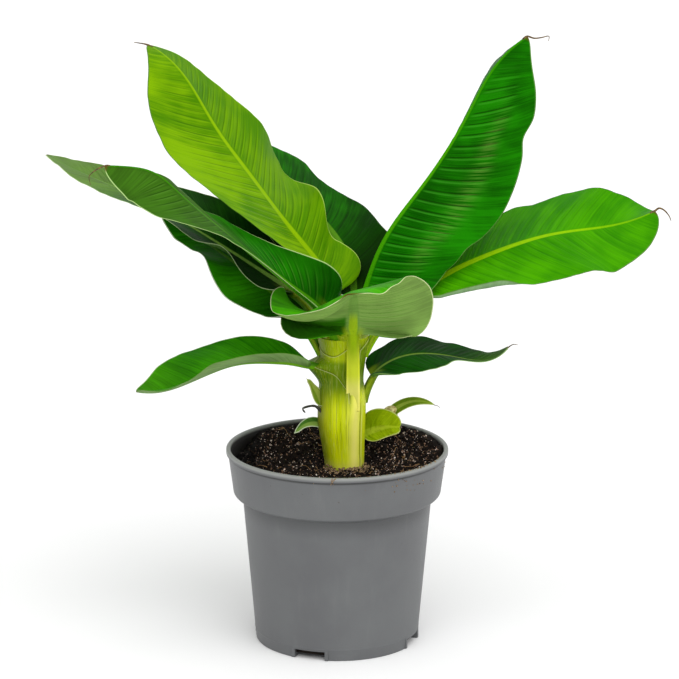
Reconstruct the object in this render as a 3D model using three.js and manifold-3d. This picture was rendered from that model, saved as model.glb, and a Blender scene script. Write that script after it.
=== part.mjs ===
// Young banana plant in a round nursery pot.
// Millimetres, +Z up. The origin is the middle of the pot's flat underside, and -Y is the front.
// Ten broad leaves spring from one pseudostem of wrapped leaf sheaths, with small leaves at its foot.

import * as THREE from 'three';
import { mergeVertices } from 'three/addons/utils/BufferGeometryUtils.js';
import Module from 'manifold-3d';

const wasm = await Module();
wasm.setup();

// Clearance between touching pieces
const GAP = 0.3;

// Pot: a 19 cm round nursery pot with a deep rim collar
const POT_HEIGHT = 169;
const RIM_RADIUS = 95;
const COLLAR_HEIGHT = 39;
const COLLAR_FOOT_RADIUS = 88.7;
const BODY_TOP_RADIUS = 80.9;
const BODY_TOP_DROP = 43;
const BASE_RADIUS = 69.7;
const WALL = 2.2;
const FLOOR = 3;
const LIP_WIDTH = 3.6;
const LIP_HEIGHT = 4.5;
const LIP_OVERHANG = 1.7;
const EDGE_ROUND = 0.8;
const POT_SIDES = 48;
const NOTCH_COUNT = 4;
const NOTCH_TURN = -109.5;
const NOTCH_WIDTH = 27;
const NOTCH_HEIGHT = 8;
const NOTCH_INNER_RADIUS = 59;
const NOTCH_WALL = 3;

// Potting soil: its level at the stem, how far it rises and falls towards the rim, and its highest level
const SOIL_LEVEL = 152;
const SOIL_BACK_RISE = 15;
const SOIL_RIGHT_RISE = 12;
const SOIL_LEFT_FALL = 3;
const SOIL_HIGHEST = 166;
const SOIL_CRUMB = 1.4;
const SOIL_SEAT_RADIUS = 21;
const SOIL_SLOPE_WIDTH = 20;
const SOIL_UNDERSIDE = -5;
const SOIL_RINGS = 7;
const SOIL_SIDES = 36;

// Pseudostem: radius and sideways place of its axis at even steps from the soil to the crown
const STEM_FOOT = SOIL_LEVEL + GAP;
const STEM_TOP = 268;
const STEM_RADIUS = [16.6, 18.2, 20.2, 20.3, 18.9, 19.4, 23];
const STEM_AXIS_X = [6.2, 5, 3.6, 3.8, 3.5, 5, 4.8];
const STEM_SIDES = 28;
const STEM_STEPS = 24;

// Sheaths that stand out from the stem below the petioles of leaf_lower_left and leaf_front: compass
// direction and spread in degrees, how far they stand out, and the levels between which they grow and end
const STEM_SHEATHS = [
  { turn: -165, spread: 38, out: 18, grow: [224, 252], end: [243, 251] },
  { turn: -66, spread: 16, out: 4.5, grow: [165, 212], end: [222, 240] },
];

// Thickness of a blade, and how far the keels of the bare stalk and of the rib stand out below it
const BLADE_THICK = 3.2;
const STALK_KEEL = 3.2;
const RIB_KEEL = 1.2;

// Half-width of a bare stalk at its foot and at the blade, and how many degrees its sides are turned up
const STALK_HALF = [5, 4];
const STALK_FOLD = 25;

// How far the margins lie towards the tip, as shares of the half-width: evenly, and growing outwards
const SWEEP = 0.25;
const MARGIN_SWEEP = 0.2;

// Leaves. A leaf's rib starts at foot, which lies inside the stem, and runs along length. heading is
// its compass direction and rise its slope, in degrees at even steps from foot to tip. petiole is the
// bare stalk's length, half the widest half-width. fold is how far the stalk's two sides are turned up,
// left and right are the angles at which the two halves of the blade leave the rib, cup how much further
// each half bends towards its margin, and waves are bulges of the margin: place along the blade, spread,
// and lift. trim scales a half's width from base to tip, stalk scales the stalk's width, and sweep
// carries the margins towards the tip.
const PETIOLE_STEPS = 3;
const BLADE_STEPS = 16;
const HALF_STEPS = 4;
const LEAVES = [
  {
    name: 'leaf_tall_left', foot: [5, 4, 264], length: 311, petiole: 40, half: 57, skew: 0.78, round: 0.72,
    heading: [100, 148, 154, 156, 153, 152], rise: [84, 47, 49, 49, 55, 20], left: [10, 2, -8, -22, -32, 0],
    right: [75, 20, 2, 9, -5, -8], trim: { left: [0.5, 1.1, 1.12, 1], right: [1, 1, 0.95, 0.8] },
    waves: { right: [[0.2, 0.07, 6], [0.31, 0.06, -6]] }, colour: '#6da109',
  },
  {
    name: 'leaf_tall_right', foot: [13, 4, 264], length: 300, petiole: 28, half: 73, skew: 0.7, round: 0.66,
    heading: [22, 11, 11, 8, 5, 8], rise: [81, 71, 52, 57, 62, 32], fold: -40, left: [-45, -50, -12, -16],
    right: [-76, -78, -82, -80], trim: { right: [1.6, 1.03, 0.98, 0.96, 0.93, 0.95] }, colour: '#2b7c11',
  },
  {
    name: 'leaf_right', foot: [21, -2, 248], length: 291, petiole: 64, half: 54, skew: 1.08, round: 0.64,
    heading: [21, 16, 11, 9, 5, 3], rise: [66, 38, 24, 16, 6, 27], left: [20, 22, 18, 25, 33, 4],
    right: [-60, -32, -34, -30, -38, -44], waves: { right: [[0.1, 0.08, 4], [0.7, 0.06, -5]] },
    colour: '#429c06',
  },
  {
    name: 'leaf_back', foot: [10, 15, 256], length: 246, petiole: 42, half: 48, skew: 0.7, round: 0.62,
    heading: [50, 95, 133, 145, 147, 147], rise: [82, 55, 42, 34, 33, 28], left: [-25, -30, -30, -20],
    right: [12, 5, -4, 5], waves: { right: [[0.2, 0.06, 6], [0.45, 0.07, 4]] }, colour: '#2c6a16',
  },
  {
    name: 'leaf_left_front', foot: [-1, -14, 258], length: 276, petiole: 26, half: 52, skew: 0.78,
    round: 0.62,
    heading: [-145, -157, -160, -160, -160, -161], rise: [83, 60, 41, 42, 41, 41, 41, 45, 49, 4, 2],
    left: [0, 0, -6, -22, -58, -60], right: [95, 30, 9, 8, -24, -20],
    trim: { left: [0.12, 0.12, 0.2, 0.9, 1.1, 1.1], right: [1.2, 0.85, 1, 1] },
    waves: { right: [[0.5, 0.08, -6], [0.68, 0.07, 5]], left: [[0.6, 0.08, 5]] }, colour: '#267105',
  },
  {
    name: 'leaf_left_back', foot: [-6, 9, 257], length: 300, petiole: 50, half: 52, skew: 0.85, round: 0.62,
    heading: [150, 160, 164, 166, 171, 170], rise: [68, 31, 30, 27.5, 21.5, 27],
    left: [-20, 16, 14, 7, 4, 14], right: [20, 20, 12, 2, 5, -8],
    waves: { left: [[0.2, 0.05, 5], [0.3, 0.06, -6]] }, colour: '#2f7212',
  },
  {
    name: 'leaf_front', foot: [13, -20.4, 205], length: 207, petiole: 74, half: 67, skew: 0.66, round: 0.45,
    heading: [-80, -88, -90, -92, -93, -94], rise: [87, 85, 62, 30, 14, 8], fold: -16,
    left: [0, -2, 2, 5, 12, 6], right: [6, -44, -48, -32, -28, -34],
    cup: { left: [10, 10, 12, 0], right: [110, 110, 16, 0] }, trim: { right: [1.2, 1.15, 1, 1] },
    waves: { left: [[0.86, 0.06, 5]] }, sweep: -0.6, stalk: 1.28, colour: '#729c48',
  },
  {
    name: 'leaf_left_low', foot: [-9, 2, 240], length: 196, petiole: 45, half: 31, skew: 0.55, round: 0.7,
    heading: [150, 151, 152, 155, 157, 159], rise: [64, 48, 32, 28, 22, 16],
    left: [-30, -38, -26, -10, -20, -58], right: [0, 0, 0, -2, -28, -8],
    waves: { left: [[0.3, 0.08, -4], [0.52, 0.08, 8], [0.78, 0.07, -3]] }, colour: '#3c7a1d',
  },
  {
    name: 'leaf_lower_left', foot: [-3, -5, 241], length: 176, petiole: 24, half: 37, skew: 0.78,
    round: 0.62,
    heading: [-150, -162, -172, -176, -180, -180], rise: [13, 9, 0, -22, -21, 10],
    left: [36, 28, 18, 16, 20, 30], right: [52, 28, 20, 28, 32, 15],
    trim: { right: [1, 1, 1, 1.12, 1.15, 1] }, waves: { left: [[0.45, 0.08, 3]] }, colour: '#377f10',
  },
  {
    name: 'leaf_lower_right', foot: [20, 3, 190], length: 168, petiole: 42, half: 35, skew: 0.56,
    round: 0.66,
    heading: [30, 10, 4, 4, 0, 0], rise: [89, 66, 21, -6, -6, 54], left: [6, 6, 9, 8, 9, 4],
    right: [-22, -15, -7, 4, 6, 8], trim: { left: [1.3, 1, 1, 1], right: [1, 1, 0.85, 0.4, 0.35, 0.35] },
    waves: { left: [[0.42, 0.07, -3]] }, colour: '#275114',
  },
  {
    name: 'leaf_small_right', foot: [18, 6, 175], length: 39, petiole: 4, half: 17, skew: 0.55, round: 0.5,
    heading: [-10, -10, -10, -10, -10, -10], rise: [40, 32, 22, 12, 4, 0], left: [65, 65, 65, 65],
    right: [-65, -65, -65, -65], trim: { right: [0.7, 0.6, 0.6, 0.8] }, stalk: 0.5, thick: 1.4, steps: 7,
    colour: '#8fb020',
  },
  {
    name: 'leaf_small_pointed', foot: [17, 10, 171], length: 79, petiole: 14, half: 5, skew: 0.9, round: 0.8,
    heading: [10, 8, 8, 5, 0, 0], rise: [38, 38, 44, 30, 2, -28], left: [30, 30, 30, 30],
    right: [-30, -30, -30, -30], stalk: 0.5, thick: 1.4, steps: 9, colour: '#6f9c24',
  },
  {
    name: 'leaf_small_left', foot: [-6, -2, 184], length: 35, petiole: 4, half: 7.5, skew: 0.5, round: 0.9,
    heading: [180, 185, 190, 190, 190, 190], rise: [40, 25, 10, -12, -35, -45], left: [-50, -50, -50, -50],
    right: [40, 40, 40, 40], trim: { left: [0.3, 0.3] }, stalk: 0.5, thick: 1.4, steps: 7,
    colour: '#4f8a2a',
  },
  {
    name: 'sheath_tip', foot: [-11, -7, 205], length: 31, petiole: 2, half: 7, skew: 0.45, round: 1,
    heading: [190, 190, 185, 180, 180, 180], rise: [75, 70, 65, 55, 50, 45], left: [-60, -60, -60, -60],
    right: [60, 60, 60, 60], trim: { right: [0.8, 0.4] }, stalk: 0.5, thick: 1.4, steps: 6,
    colour: '#8fa63c',
  },
];

// Dried leaf curl at the left of the stem's foot: its thickness, and where its middle line passes
const CURL_RADIUS = 1.2;
const CURL_LINE = [[-9, -7, 196], [-13, -9, 202], [-19.4, -10, 208], [-29, -10, 206], [-27.4, -10, 202]];
const CURL_STEPS = 14;

const DEGREE = Math.PI / 180;

// Smooth curve through evenly spaced values
function profile(values, s) {
  const last = values.length - 1;
  const x = THREE.MathUtils.clamp(s, 0, 1) * last;
  const i = Math.min(Math.floor(x), last - 1);
  const t = x - i;
  const a = values[i];
  const b = values[i + 1];
  const slopeA = i > 0 ? (b - values[i - 1]) / 2 : b - a;
  const slopeB = i + 2 <= last ? (values[i + 2] - a) / 2 : b - a;
  return (2 * t ** 3 - 3 * t ** 2 + 1) * a + (t ** 3 - 2 * t ** 2 + t) * slopeA
    + (3 * t ** 2 - 2 * t ** 3) * b + (t ** 3 - t ** 2) * slopeB;
}

function solidFrom(geometry) {
  const bare = geometry.clone();
  bare.deleteAttribute('normal');
  bare.deleteAttribute('uv');
  const merged = mergeVertices(bare, 1e-4);
  return new wasm.Manifold(new wasm.Mesh({
    numProp: 3,
    vertProperties: new Float32Array(merged.attributes.position.array),
    triVerts: new Uint32Array(merged.index.array),
  }));
}

function geometryFrom(solid) {
  const mesh = solid.getMesh();
  const geometry = new THREE.BufferGeometry();
  geometry.setAttribute('position', new THREE.BufferAttribute(new Float32Array(mesh.vertProperties), 3));
  geometry.setIndex(new THREE.BufferAttribute(new Uint32Array(mesh.triVerts), 1));
  geometry.computeVertexNormals();
  return geometry;
}

// The largest separate body of a solid that a cut may have left in pieces
function largest(solid) {
  const pieces = solid.decompose();
  pieces.sort((a, b) => b.volume() - a.volume());
  return pieces[0];
}

// Moves every vertex of a closed geometry by a rule, and turns its faces out again
function bend(geometry, rule) {
  geometry.deleteAttribute('normal');
  geometry.deleteAttribute('uv');
  const shape = mergeVertices(geometry, 1e-5);
  const position = shape.attributes.position;
  const point = new THREE.Vector3();
  for (let i = 0; i < position.count; i += 1) {
    point.fromBufferAttribute(position, i);
    const moved = rule(point);
    position.setXYZ(i, moved.x, moved.y, moved.z);
  }
  const index = shape.index.array;
  let volume = 0;
  const corners = [new THREE.Vector3(), new THREE.Vector3(), new THREE.Vector3()];
  for (let i = 0; i < index.length; i += 3) {
    corners.forEach((corner, k) => corner.fromBufferAttribute(position, index[i + k]));
    volume += corners[0].dot(corners[1].cross(corners[2]));
  }
  if (volume < 0) {
    for (let i = 0; i < index.length; i += 3) {
      [index[i], index[i + 1]] = [index[i + 1], index[i]];
    }
  }
  return shape;
}

// Points and axes along a leaf's rib: along it, to its left side and up from its upper face
function ribOf(leaf) {
  const steps = 160;
  const stations = [];
  const place = new THREE.Vector3(...leaf.foot);
  let before = null;
  for (let i = 0; i <= steps; i += 1) {
    const heading = profile(leaf.heading, i / steps) * DEGREE;
    const rise = profile(leaf.rise, i / steps) * DEGREE;
    const along = new THREE.Vector3(
      Math.cos(rise) * Math.cos(heading), Math.cos(rise) * Math.sin(heading), Math.sin(rise),
    );
    const side = new THREE.Vector3(-Math.sin(heading), Math.cos(heading), 0);
    const up = along.clone().cross(side);
    if (before) {
      place.addScaledVector(along.clone().add(before), leaf.length / steps / 2);
    }
    before = along;
    stations.push({ place: place.clone(), along, side, up });
  }
  return (s) => stations[Math.round(THREE.MathUtils.clamp(s, 0, 1) * steps)];
}

function bladeWidth(leaf, b) {
  return leaf.half * Math.sin(Math.PI * THREE.MathUtils.clamp(b, 0, 1) ** leaf.skew) ** leaf.round;
}

// A point of the leaf's middle surface. v runs from -1 at the right margin to 1 at the left one.
function leafPoint(leaf, rib, s, v) {
  const bare = leaf.petiole / leaf.length;
  const b = (s - bare) / (1 - bare);
  const station = rib(s);
  const stalk = THREE.MathUtils.lerp(...STALK_HALF, Math.min(s / bare, 1)) * (leaf.stalk ?? 1);
  const ending = 1 - 0.7 * THREE.MathUtils.smoothstep(s, 0.9, 1);
  const sign = Math.sign(v);
  const name = v > 0 ? 'left' : 'right';
  const trim = profile(leaf.trim?.[name] ?? [1, 1], b);
  const width = Math.max(stalk * (b > 0 ? ending : 1), bladeWidth(leaf, b) * trim);
  const q = Math.abs(v);
  const open = THREE.MathUtils.smoothstep(b, 0, 0.08);
  const start = THREE.MathUtils.lerp(leaf.fold ?? STALK_FOLD, profile(leaf[name], b), open) * DEGREE;
  const cup = open * profile(leaf.cup?.[name] ?? [0, 0], b) * DEGREE;
  let out = 0;
  let lift = 0;
  const slices = 12;
  for (let k = 0; k < slices; k += 1) {
    const angle = start + cup * q * (k + 0.5) / slices;
    out += Math.cos(angle) * q * width / slices;
    lift += Math.sin(angle) * q * width / slices;
  }
  const wave = (leaf.waves?.[name] ?? []).reduce(
    (sum, [place, spread, height]) => sum + height * Math.exp(-(((b - place) / spread) ** 2)), 0,
  ) * q * q;
  const end = start + cup * q;
  out -= wave * Math.sin(end);
  lift += wave * Math.cos(end);
  const sweep = (leaf.sweep ?? SWEEP) * q + MARGIN_SWEEP * q * q;
  const forward = width * sweep * THREE.MathUtils.clamp(b * 12, 0, 1);
  return station.place.clone()
    .addScaledVector(station.side, sign * out)
    .addScaledVector(station.up, lift)
    .addScaledVector(station.along, forward);
}

// Even steps along the petiole, then steps along the blade that crowd towards its two ends
function stationAt(leaf, i) {
  const bare = leaf.petiole / leaf.length;
  if (i <= PETIOLE_STEPS) {
    return bare * i / PETIOLE_STEPS;
  }
  const t = (i - PETIOLE_STEPS) / (leaf.steps ?? BLADE_STEPS);
  return bare + (1 - bare) * (0.6 * t + 0.2 * (1 - Math.cos(Math.PI * t)));
}

function leafSolid(leaf) {
  const rib = ribOf(leaf);
  const steps = PETIOLE_STEPS + (leaf.steps ?? BLADE_STEPS);
  const columns = 2 * HALF_STEPS;
  const middle = [];
  for (let i = 0; i <= steps; i += 1) {
    middle.push([]);
    for (let j = 0; j <= columns; j += 1) {
      middle[i].push(leafPoint(leaf, rib, stationAt(leaf, i), j / HALF_STEPS - 1));
    }
  }
  const faceNormal = (i, j, di, dj) => {
    const along = middle[i + di] ? middle[i + di][j].clone().sub(middle[i][j]).multiplyScalar(di) : null;
    const across = middle[i][j + dj] ? middle[i][j + dj].clone().sub(middle[i][j]).multiplyScalar(dj) : null;
    return along && across ? along.cross(across).normalize() : null;
  };
  const offset = (i, j, side) => {
    const faces = [[1, 1], [1, -1], [-1, 1], [-1, -1]]
      .map(([di, dj]) => faceNormal(i, j, di, dj)).filter(Boolean);
    const mean = faces.reduce((sum, n) => sum.add(n), new THREE.Vector3()).normalize();
    const mitre = Math.max(0.4, Math.min(...faces.map((n) => n.dot(mean))));
    const s = stationAt(leaf, i);
    const v = j / HALF_STEPS - 1;
    const bare = leaf.petiole / leaf.length;
    const stalk = 1 - THREE.MathUtils.smoothstep(s, bare * 0.8, bare + 0.12);
    const ribKeel = v === 0 ? RIB_KEEL * (1 - s) : 0;
    const keel = THREE.MathUtils.lerp(ribKeel, STALK_KEEL * (1 - v * v), stalk) * (leaf.stalk ?? 1);
    const half = (leaf.thick ?? BLADE_THICK) / 2 + (side < 0 ? keel : 0);
    return mean.multiplyScalar(side * half / mitre);
  };
  const slab = new THREE.BoxGeometry(1, 1, 1, steps, columns, 1);
  return solidFrom(bend(slab, (p) => {
    const i = Math.round((p.x + 0.5) * steps);
    const j = Math.round((p.y + 0.5) * columns);
    return middle[i][j].clone().add(offset(i, j, Math.sign(p.z)));
  }));
}

// How far the outer sheaths stand out from the stem at a level and a compass direction
function sheathRelief(level, turn) {
  return STEM_SHEATHS.reduce((sum, sheath) => {
    const away = THREE.MathUtils.euclideanModulo(turn - sheath.turn + 180, 360) - 180;
    const grown = THREE.MathUtils.smoothstep(level, ...sheath.grow);
    const ended = THREE.MathUtils.smoothstep(level, ...sheath.end);
    return sum + sheath.out * grown * (1 - ended) * Math.exp(-((away / sheath.spread) ** 2));
  }, 0);
}

// The stem, or the stem grown by a clearance
function stemSolid(grown = 0) {
  const rod = new THREE.CylinderGeometry(1, 1, 1, STEM_SIDES, STEM_STEPS, false);
  return solidFrom(bend(rod, (p) => {
    const t = p.y + 0.5;
    const level = THREE.MathUtils.lerp(STEM_FOOT, STEM_TOP, t);
    const radius = profile(STEM_RADIUS, t) + sheathRelief(level, Math.atan2(p.z, p.x) / DEGREE) + grown;
    const end = grown * Math.trunc(2 * p.y);
    return new THREE.Vector3(profile(STEM_AXIS_X, t) + p.x * radius, p.z * radius, level + end);
  }));
}

function lathe(points, sides) {
  const geometry = new THREE.LatheGeometry(points.map(([x, y]) => new THREE.Vector2(x, y)), sides);
  geometry.rotateX(Math.PI / 2);
  return solidFrom(bend(geometry, (p) => p.clone()));
}

// Radius of the pot's outer wall below its collar
function bodyRadius(z) {
  return THREE.MathUtils.lerp(BASE_RADIUS, BODY_TOP_RADIUS, z / (POT_HEIGHT - BODY_TOP_DROP));
}

const collarFoot = POT_HEIGHT - COLLAR_HEIGHT;
const bodyTop = POT_HEIGHT - BODY_TOP_DROP;
const innerRim = RIM_RADIUS - LIP_WIDTH;

// Blocks round the foot of the pot's wall that fill its drain notches, grown on every side
function notchBlocks(grown) {
  const inner = NOTCH_INNER_RADIUS - grown;
  const outer = RIM_RADIUS;
  const blocks = [];
  for (let k = 0; k < NOTCH_COUNT; k += 1) {
    const block = new THREE.BoxGeometry(outer - inner, NOTCH_WIDTH + 2 * grown, 2 * (NOTCH_HEIGHT + grown));
    block.translate((inner + outer) / 2, 0, 0);
    block.rotateZ((NOTCH_TURN + k * 360 / NOTCH_COUNT) * DEGREE);
    blocks.push(solidFrom(block));
  }
  return blocks;
}

function potSolid() {
  const outer = lathe([
    [0, 0], [BASE_RADIUS - EDGE_ROUND, 0], [BASE_RADIUS, EDGE_ROUND],
    [bodyRadius(bodyTop - EDGE_ROUND), bodyTop - EDGE_ROUND], [BODY_TOP_RADIUS + EDGE_ROUND, bodyTop],
    [COLLAR_FOOT_RADIUS - 2 * EDGE_ROUND, collarFoot - EDGE_ROUND], [COLLAR_FOOT_RADIUS, collarFoot],
    [RIM_RADIUS - LIP_OVERHANG, POT_HEIGHT - LIP_HEIGHT], [RIM_RADIUS, POT_HEIGHT - LIP_HEIGHT + EDGE_ROUND],
    [RIM_RADIUS, POT_HEIGHT - EDGE_ROUND], [RIM_RADIUS - EDGE_ROUND, POT_HEIGHT], [0, POT_HEIGHT],
  ], POT_SIDES);
  let pot = outer.subtract(cavitySolid(0));
  for (const shell of notchBlocks(NOTCH_WALL)) {
    pot = pot.add(shell.intersect(outer));
  }
  for (const notch of notchBlocks(0)) {
    pot = pot.subtract(notch);
  }
  return pot;
}

// The room inside the pot, or that room shrunk by a clearance
function cavitySolid(shrink) {
  const top = POT_HEIGHT + 20;
  return lathe([
    [0, FLOOR + shrink], [bodyRadius(FLOOR) - WALL - shrink, FLOOR + shrink],
    [BODY_TOP_RADIUS - WALL - shrink, bodyTop + (WALL + shrink) / 2],
    [COLLAR_FOOT_RADIUS - WALL - shrink, collarFoot + WALL + shrink / 2],
    [innerRim - shrink, POT_HEIGHT], [innerRim - shrink, top], [0, top],
  ], POT_SIDES);
}

// Height of the soil's surface: flat at the stem, heaved towards the back and the right, and crumbly
function soilHeight(x, y) {
  const radius = Math.hypot(x - STEM_AXIS_X[0], y);
  const away = THREE.MathUtils.smoothstep(radius, SOIL_SEAT_RADIUS, SOIL_SEAT_RADIUS + SOIL_SLOPE_WIDTH);
  const back = SOIL_BACK_RISE * Math.max(y, 0);
  const right = (x > 0 ? SOIL_RIGHT_RISE : SOIL_LEFT_FALL) * x;
  const crumb = SOIL_CRUMB * (Math.sin(x * 0.31 + 1.3) * Math.cos(y * 0.27) + Math.sin((x - y) * 0.17 + 0.4));
  return Math.min(SOIL_LEVEL + away * ((back + right) / RIM_RADIUS + crumb), SOIL_HIGHEST);
}

function soilSolid() {
  const reach = RIM_RADIUS + 4;
  const cap = new THREE.SphereGeometry(1, SOIL_SIDES, 2 * SOIL_RINGS);
  const dome = solidFrom(bend(cap, (p) => {
    const spread = Math.acos(Math.abs(THREE.MathUtils.clamp(p.y, -1, 1))) / (Math.PI / 2);
    const turn = Math.atan2(p.z, p.x);
    const x = reach * spread * Math.cos(turn);
    const y = reach * spread * Math.sin(turn);
    const top = soilHeight(x, y);
    const middle = (top + SOIL_UNDERSIDE) / 2;
    if (Math.abs(p.y) < 1e-6) {
      return new THREE.Vector3(x, y, middle);
    }
    return new THREE.Vector3(x, y, p.y > 0 ? top : SOIL_UNDERSIDE);
  }));
  let soil = dome.intersect(cavitySolid(GAP)).subtract(stemSolid(GAP));
  for (const block of notchBlocks(NOTCH_WALL + GAP)) {
    soil = soil.subtract(block);
  }
  return largest(soil);
}

// A dried, curled leaf end that leaves the stem to the left
function curlGeometry() {
  const path = new THREE.CatmullRomCurve3(CURL_LINE.map((point) => new THREE.Vector3(...point)));
  const section = new THREE.Shape();
  section.absarc(0, 0, CURL_RADIUS, 0, 2 * Math.PI, false);
  return new THREE.ExtrudeGeometry(section, {
    steps: CURL_STEPS, curveSegments: 4, bevelEnabled: false, extrudePath: path,
  });
}

const plant = new THREE.Group();
plant.name = 'potted_banana_plant';

function addPiece(name, solid, colour, roughness) {
  const material = new THREE.MeshStandardMaterial({ color: colour, roughness, metalness: 0 });
  const mesh = new THREE.Mesh(geometryFrom(solid), material);
  mesh.name = name;
  plant.add(mesh);
}

addPiece('pot', potSolid(), '#74767a', 0.55);
addPiece('soil', soilSolid(), '#2c2119', 0.95);
addPiece('pseudostem', stemSolid(), '#a3a836', 0.5);

const stemRoom = stemSolid(GAP);
for (const leaf of LEAVES) {
  addPiece(leaf.name, largest(leafSolid(leaf).subtract(stemRoom)), leaf.colour, 0.42);
}
addPiece('dry_curl', largest(solidFrom(curlGeometry()).subtract(stemRoom)), '#6b5134', 0.85);

export default plant;
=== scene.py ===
# Looks of a young banana plant in a grey nursery pot.
# Lengths here are millimetres, turned to metres when a mesh is made. +Z is up and -Y is the front.
import math

import bpy
import numpy as np
from mathutils import Matrix, Vector, noise


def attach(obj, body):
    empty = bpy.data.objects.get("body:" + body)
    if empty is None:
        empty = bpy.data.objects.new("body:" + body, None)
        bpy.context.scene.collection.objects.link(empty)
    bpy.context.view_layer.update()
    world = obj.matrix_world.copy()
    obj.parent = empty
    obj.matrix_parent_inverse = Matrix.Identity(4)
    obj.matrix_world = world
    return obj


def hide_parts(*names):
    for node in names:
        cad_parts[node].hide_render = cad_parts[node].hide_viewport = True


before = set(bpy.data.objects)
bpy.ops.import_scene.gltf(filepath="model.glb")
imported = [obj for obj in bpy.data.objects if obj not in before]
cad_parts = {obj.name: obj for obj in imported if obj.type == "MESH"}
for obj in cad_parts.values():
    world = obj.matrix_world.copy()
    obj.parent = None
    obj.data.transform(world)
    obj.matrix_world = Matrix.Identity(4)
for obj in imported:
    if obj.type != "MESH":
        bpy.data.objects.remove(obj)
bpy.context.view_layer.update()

MM = 0.001
BODY = "root"

# Camera at the photograph's viewing angle, and the frame's side in pixels
PHOTO_SIDE = 679
FOCAL_PIXELS = 3409
CAMERA_PLACE = (1.73, -2800, 985.3)
CAMERA_PITCH = 14.45
CAMERA_ROLL = 0.131
SENSOR = 36

# Light: even brightness all round, and a very wide soft key from above the camera's right
SKY_STRENGTH = 0.8
SUN_STRENGTH = 1.7
SUN_WIDTH = 70
SUN_FROM = (0.3, -0.85, 1.25)

# Pot
POT_HEIGHT = 169
RIM_RADIUS = 95
COLLAR_HEIGHT = 39
COLLAR_FOOT_RADIUS = 88.7
BODY_TOP_RADIUS = 80.9
BODY_TOP_DROP = 43
BASE_RADIUS = 69.7
WALL = 2.2
FLOOR = 3
LIP_WIDTH = 3.6
LIP_HEIGHT = 4.5
LIP_OVERHANG = 1.7
EDGE_ROUND = 0.8
POT_SIDES = 192
NOTCH_COUNT = 4
NOTCH_TURN = -109.5
NOTCH_WIDTH = 27
NOTCH_HEIGHT = 8
NOTCH_INNER_RADIUS = 59
NOTCH_WALL = 3
RIDGE_LEVEL = 10
COLLAR_FOOT = POT_HEIGHT - COLLAR_HEIGHT
BODY_TOP = POT_HEIGHT - BODY_TOP_DROP
INNER_RIM = RIM_RADIUS - LIP_WIDTH

# Soil
GAP = 0.3
SOIL_LEVEL = 152
SOIL_BACK_RISE = 15
SOIL_RIGHT_RISE = 12
SOIL_LEFT_FALL = 3
SOIL_CEILING = 167.5
SOIL_CRUMB = 1.4
SOIL_SEAT_RADIUS = 21
SOIL_SLOPE_WIDTH = 20
SOIL_SHADE_X = (-60, -74)
SOIL_RINGS = 90
SOIL_AROUND = 260
# How far the soil's hidden side stands back from the pot
SOIL_SHY = 1.5
# A low heap at the back left
HEAP_X = -56
HEAP_Y = 54
HEAP_SPREAD = 26
HEAP_HEIGHT = 8
# Loose fibres on the soil, crumbs at the stem's foot, and crumbs on the rim or on a band of the collar
FIBRES = 50
FIBRE_SPREAD = 80
FIBRE_REACH = 86
FIBRE_KNOTS = 5
LOOSE_STEPS = 12
FOOT_CRUMBS = 300
RIM_CRUMBS = 70
RIM_SHARE = 0.75
COLLAR_BAND = (150, 164)
# Two straws that hang over the front of the rim
STRAWS = [
    [(-1, -94.2, 169.2), (-3, -95.6, 167.6), (-5.5, -95.6, 163.5)],
    [(-4, -94.4, 169.2), (-4.4, -95.6, 166.8), (-3, -95.5, 164)],
]

# Pseudostem
STEM_FOOT = SOIL_LEVEL + GAP
STEM_TOP = 268
STEM_RADIUS = [16.6, 18.2, 20.2, 20.3, 18.9, 19.4, 23]
STEM_AXIS_X = [6.2, 5, 3.6, 3.8, 3.5, 5, 4.8]
STEM_AROUND = 256
STEM_ROWS = 200
TOP_RINGS = 36
TOP_ROLLS = 3.5
# How far the stem below its sheaths lies under the stem's radius
SHEATH_BED = 1.3
# A slit between two sheaths: compass turn, half width in degrees, depth
SLIT_TURN = -36
SLIT_SPREAD = 2.4
SLIT_DEPTH = 1.8
# Softness of a sheath's edges at the stem's foot and above it, and the distance given where no edge is near
FOOT_SOFT = 5
EDGE_SOFT = 0.35
NO_EDGE = 9

# Bulges of the stem where leaf bases leave it: the turn round the stem, half its spread, how far it stands
# out, and the levels between which it grows and ends
STEM_BULGES = [
    dict(turn=-165, spread=38, out=18, grow=(224, 252), end=(243, 251)),
    dict(turn=-66, spread=16, out=4.5, grow=(165, 212), end=(222, 240)),
]

# Leaf mesh: the petiole's half width at its foot and at the blade, and how far its keel stands out. How far
# the margins sweep forward, and how much the rib tapers to the tip. In how many slices a half is bent, its
# columns, the fewest rows, and how far both are eased from even steps. Half the blade's thickness.
STALK_HALF = (5, 4)
STALK_KEEL = 3.2
MARGIN_SWEEP = 0.2
TIP_TAPER = 0.92
BEND_SLICES = 12
FEWEST_ROWS = 48
HALF_COLUMNS = 28
ROW_EASE = 0.004
COLUMN_EASE = 0.6
BLADE_HALF_THICK = 0.5
MARGIN_HALF_THICK = 0.2
LEAF_GLOSS_TINT = (0.6, 1, 0.25)
# Where the steep side of a pleat begins, and where its light falls, as shares of the pleat
PLEAT_CREST = 0.75
PLEAT_LIGHT = 0.8
# How far below the stem's side, and below its top, a leaf's points are still shown
STEM_SKIN = 1.5
STEM_TOP_BAND = 4
# How a petiole that merges with the stem sinks and narrows at its foot
MERGE_DEPTH = 4.5
MERGE_WIDTH = 0.95
MERGE_ABOVE = 0.3
MERGE_BELOW = 0.15

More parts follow.
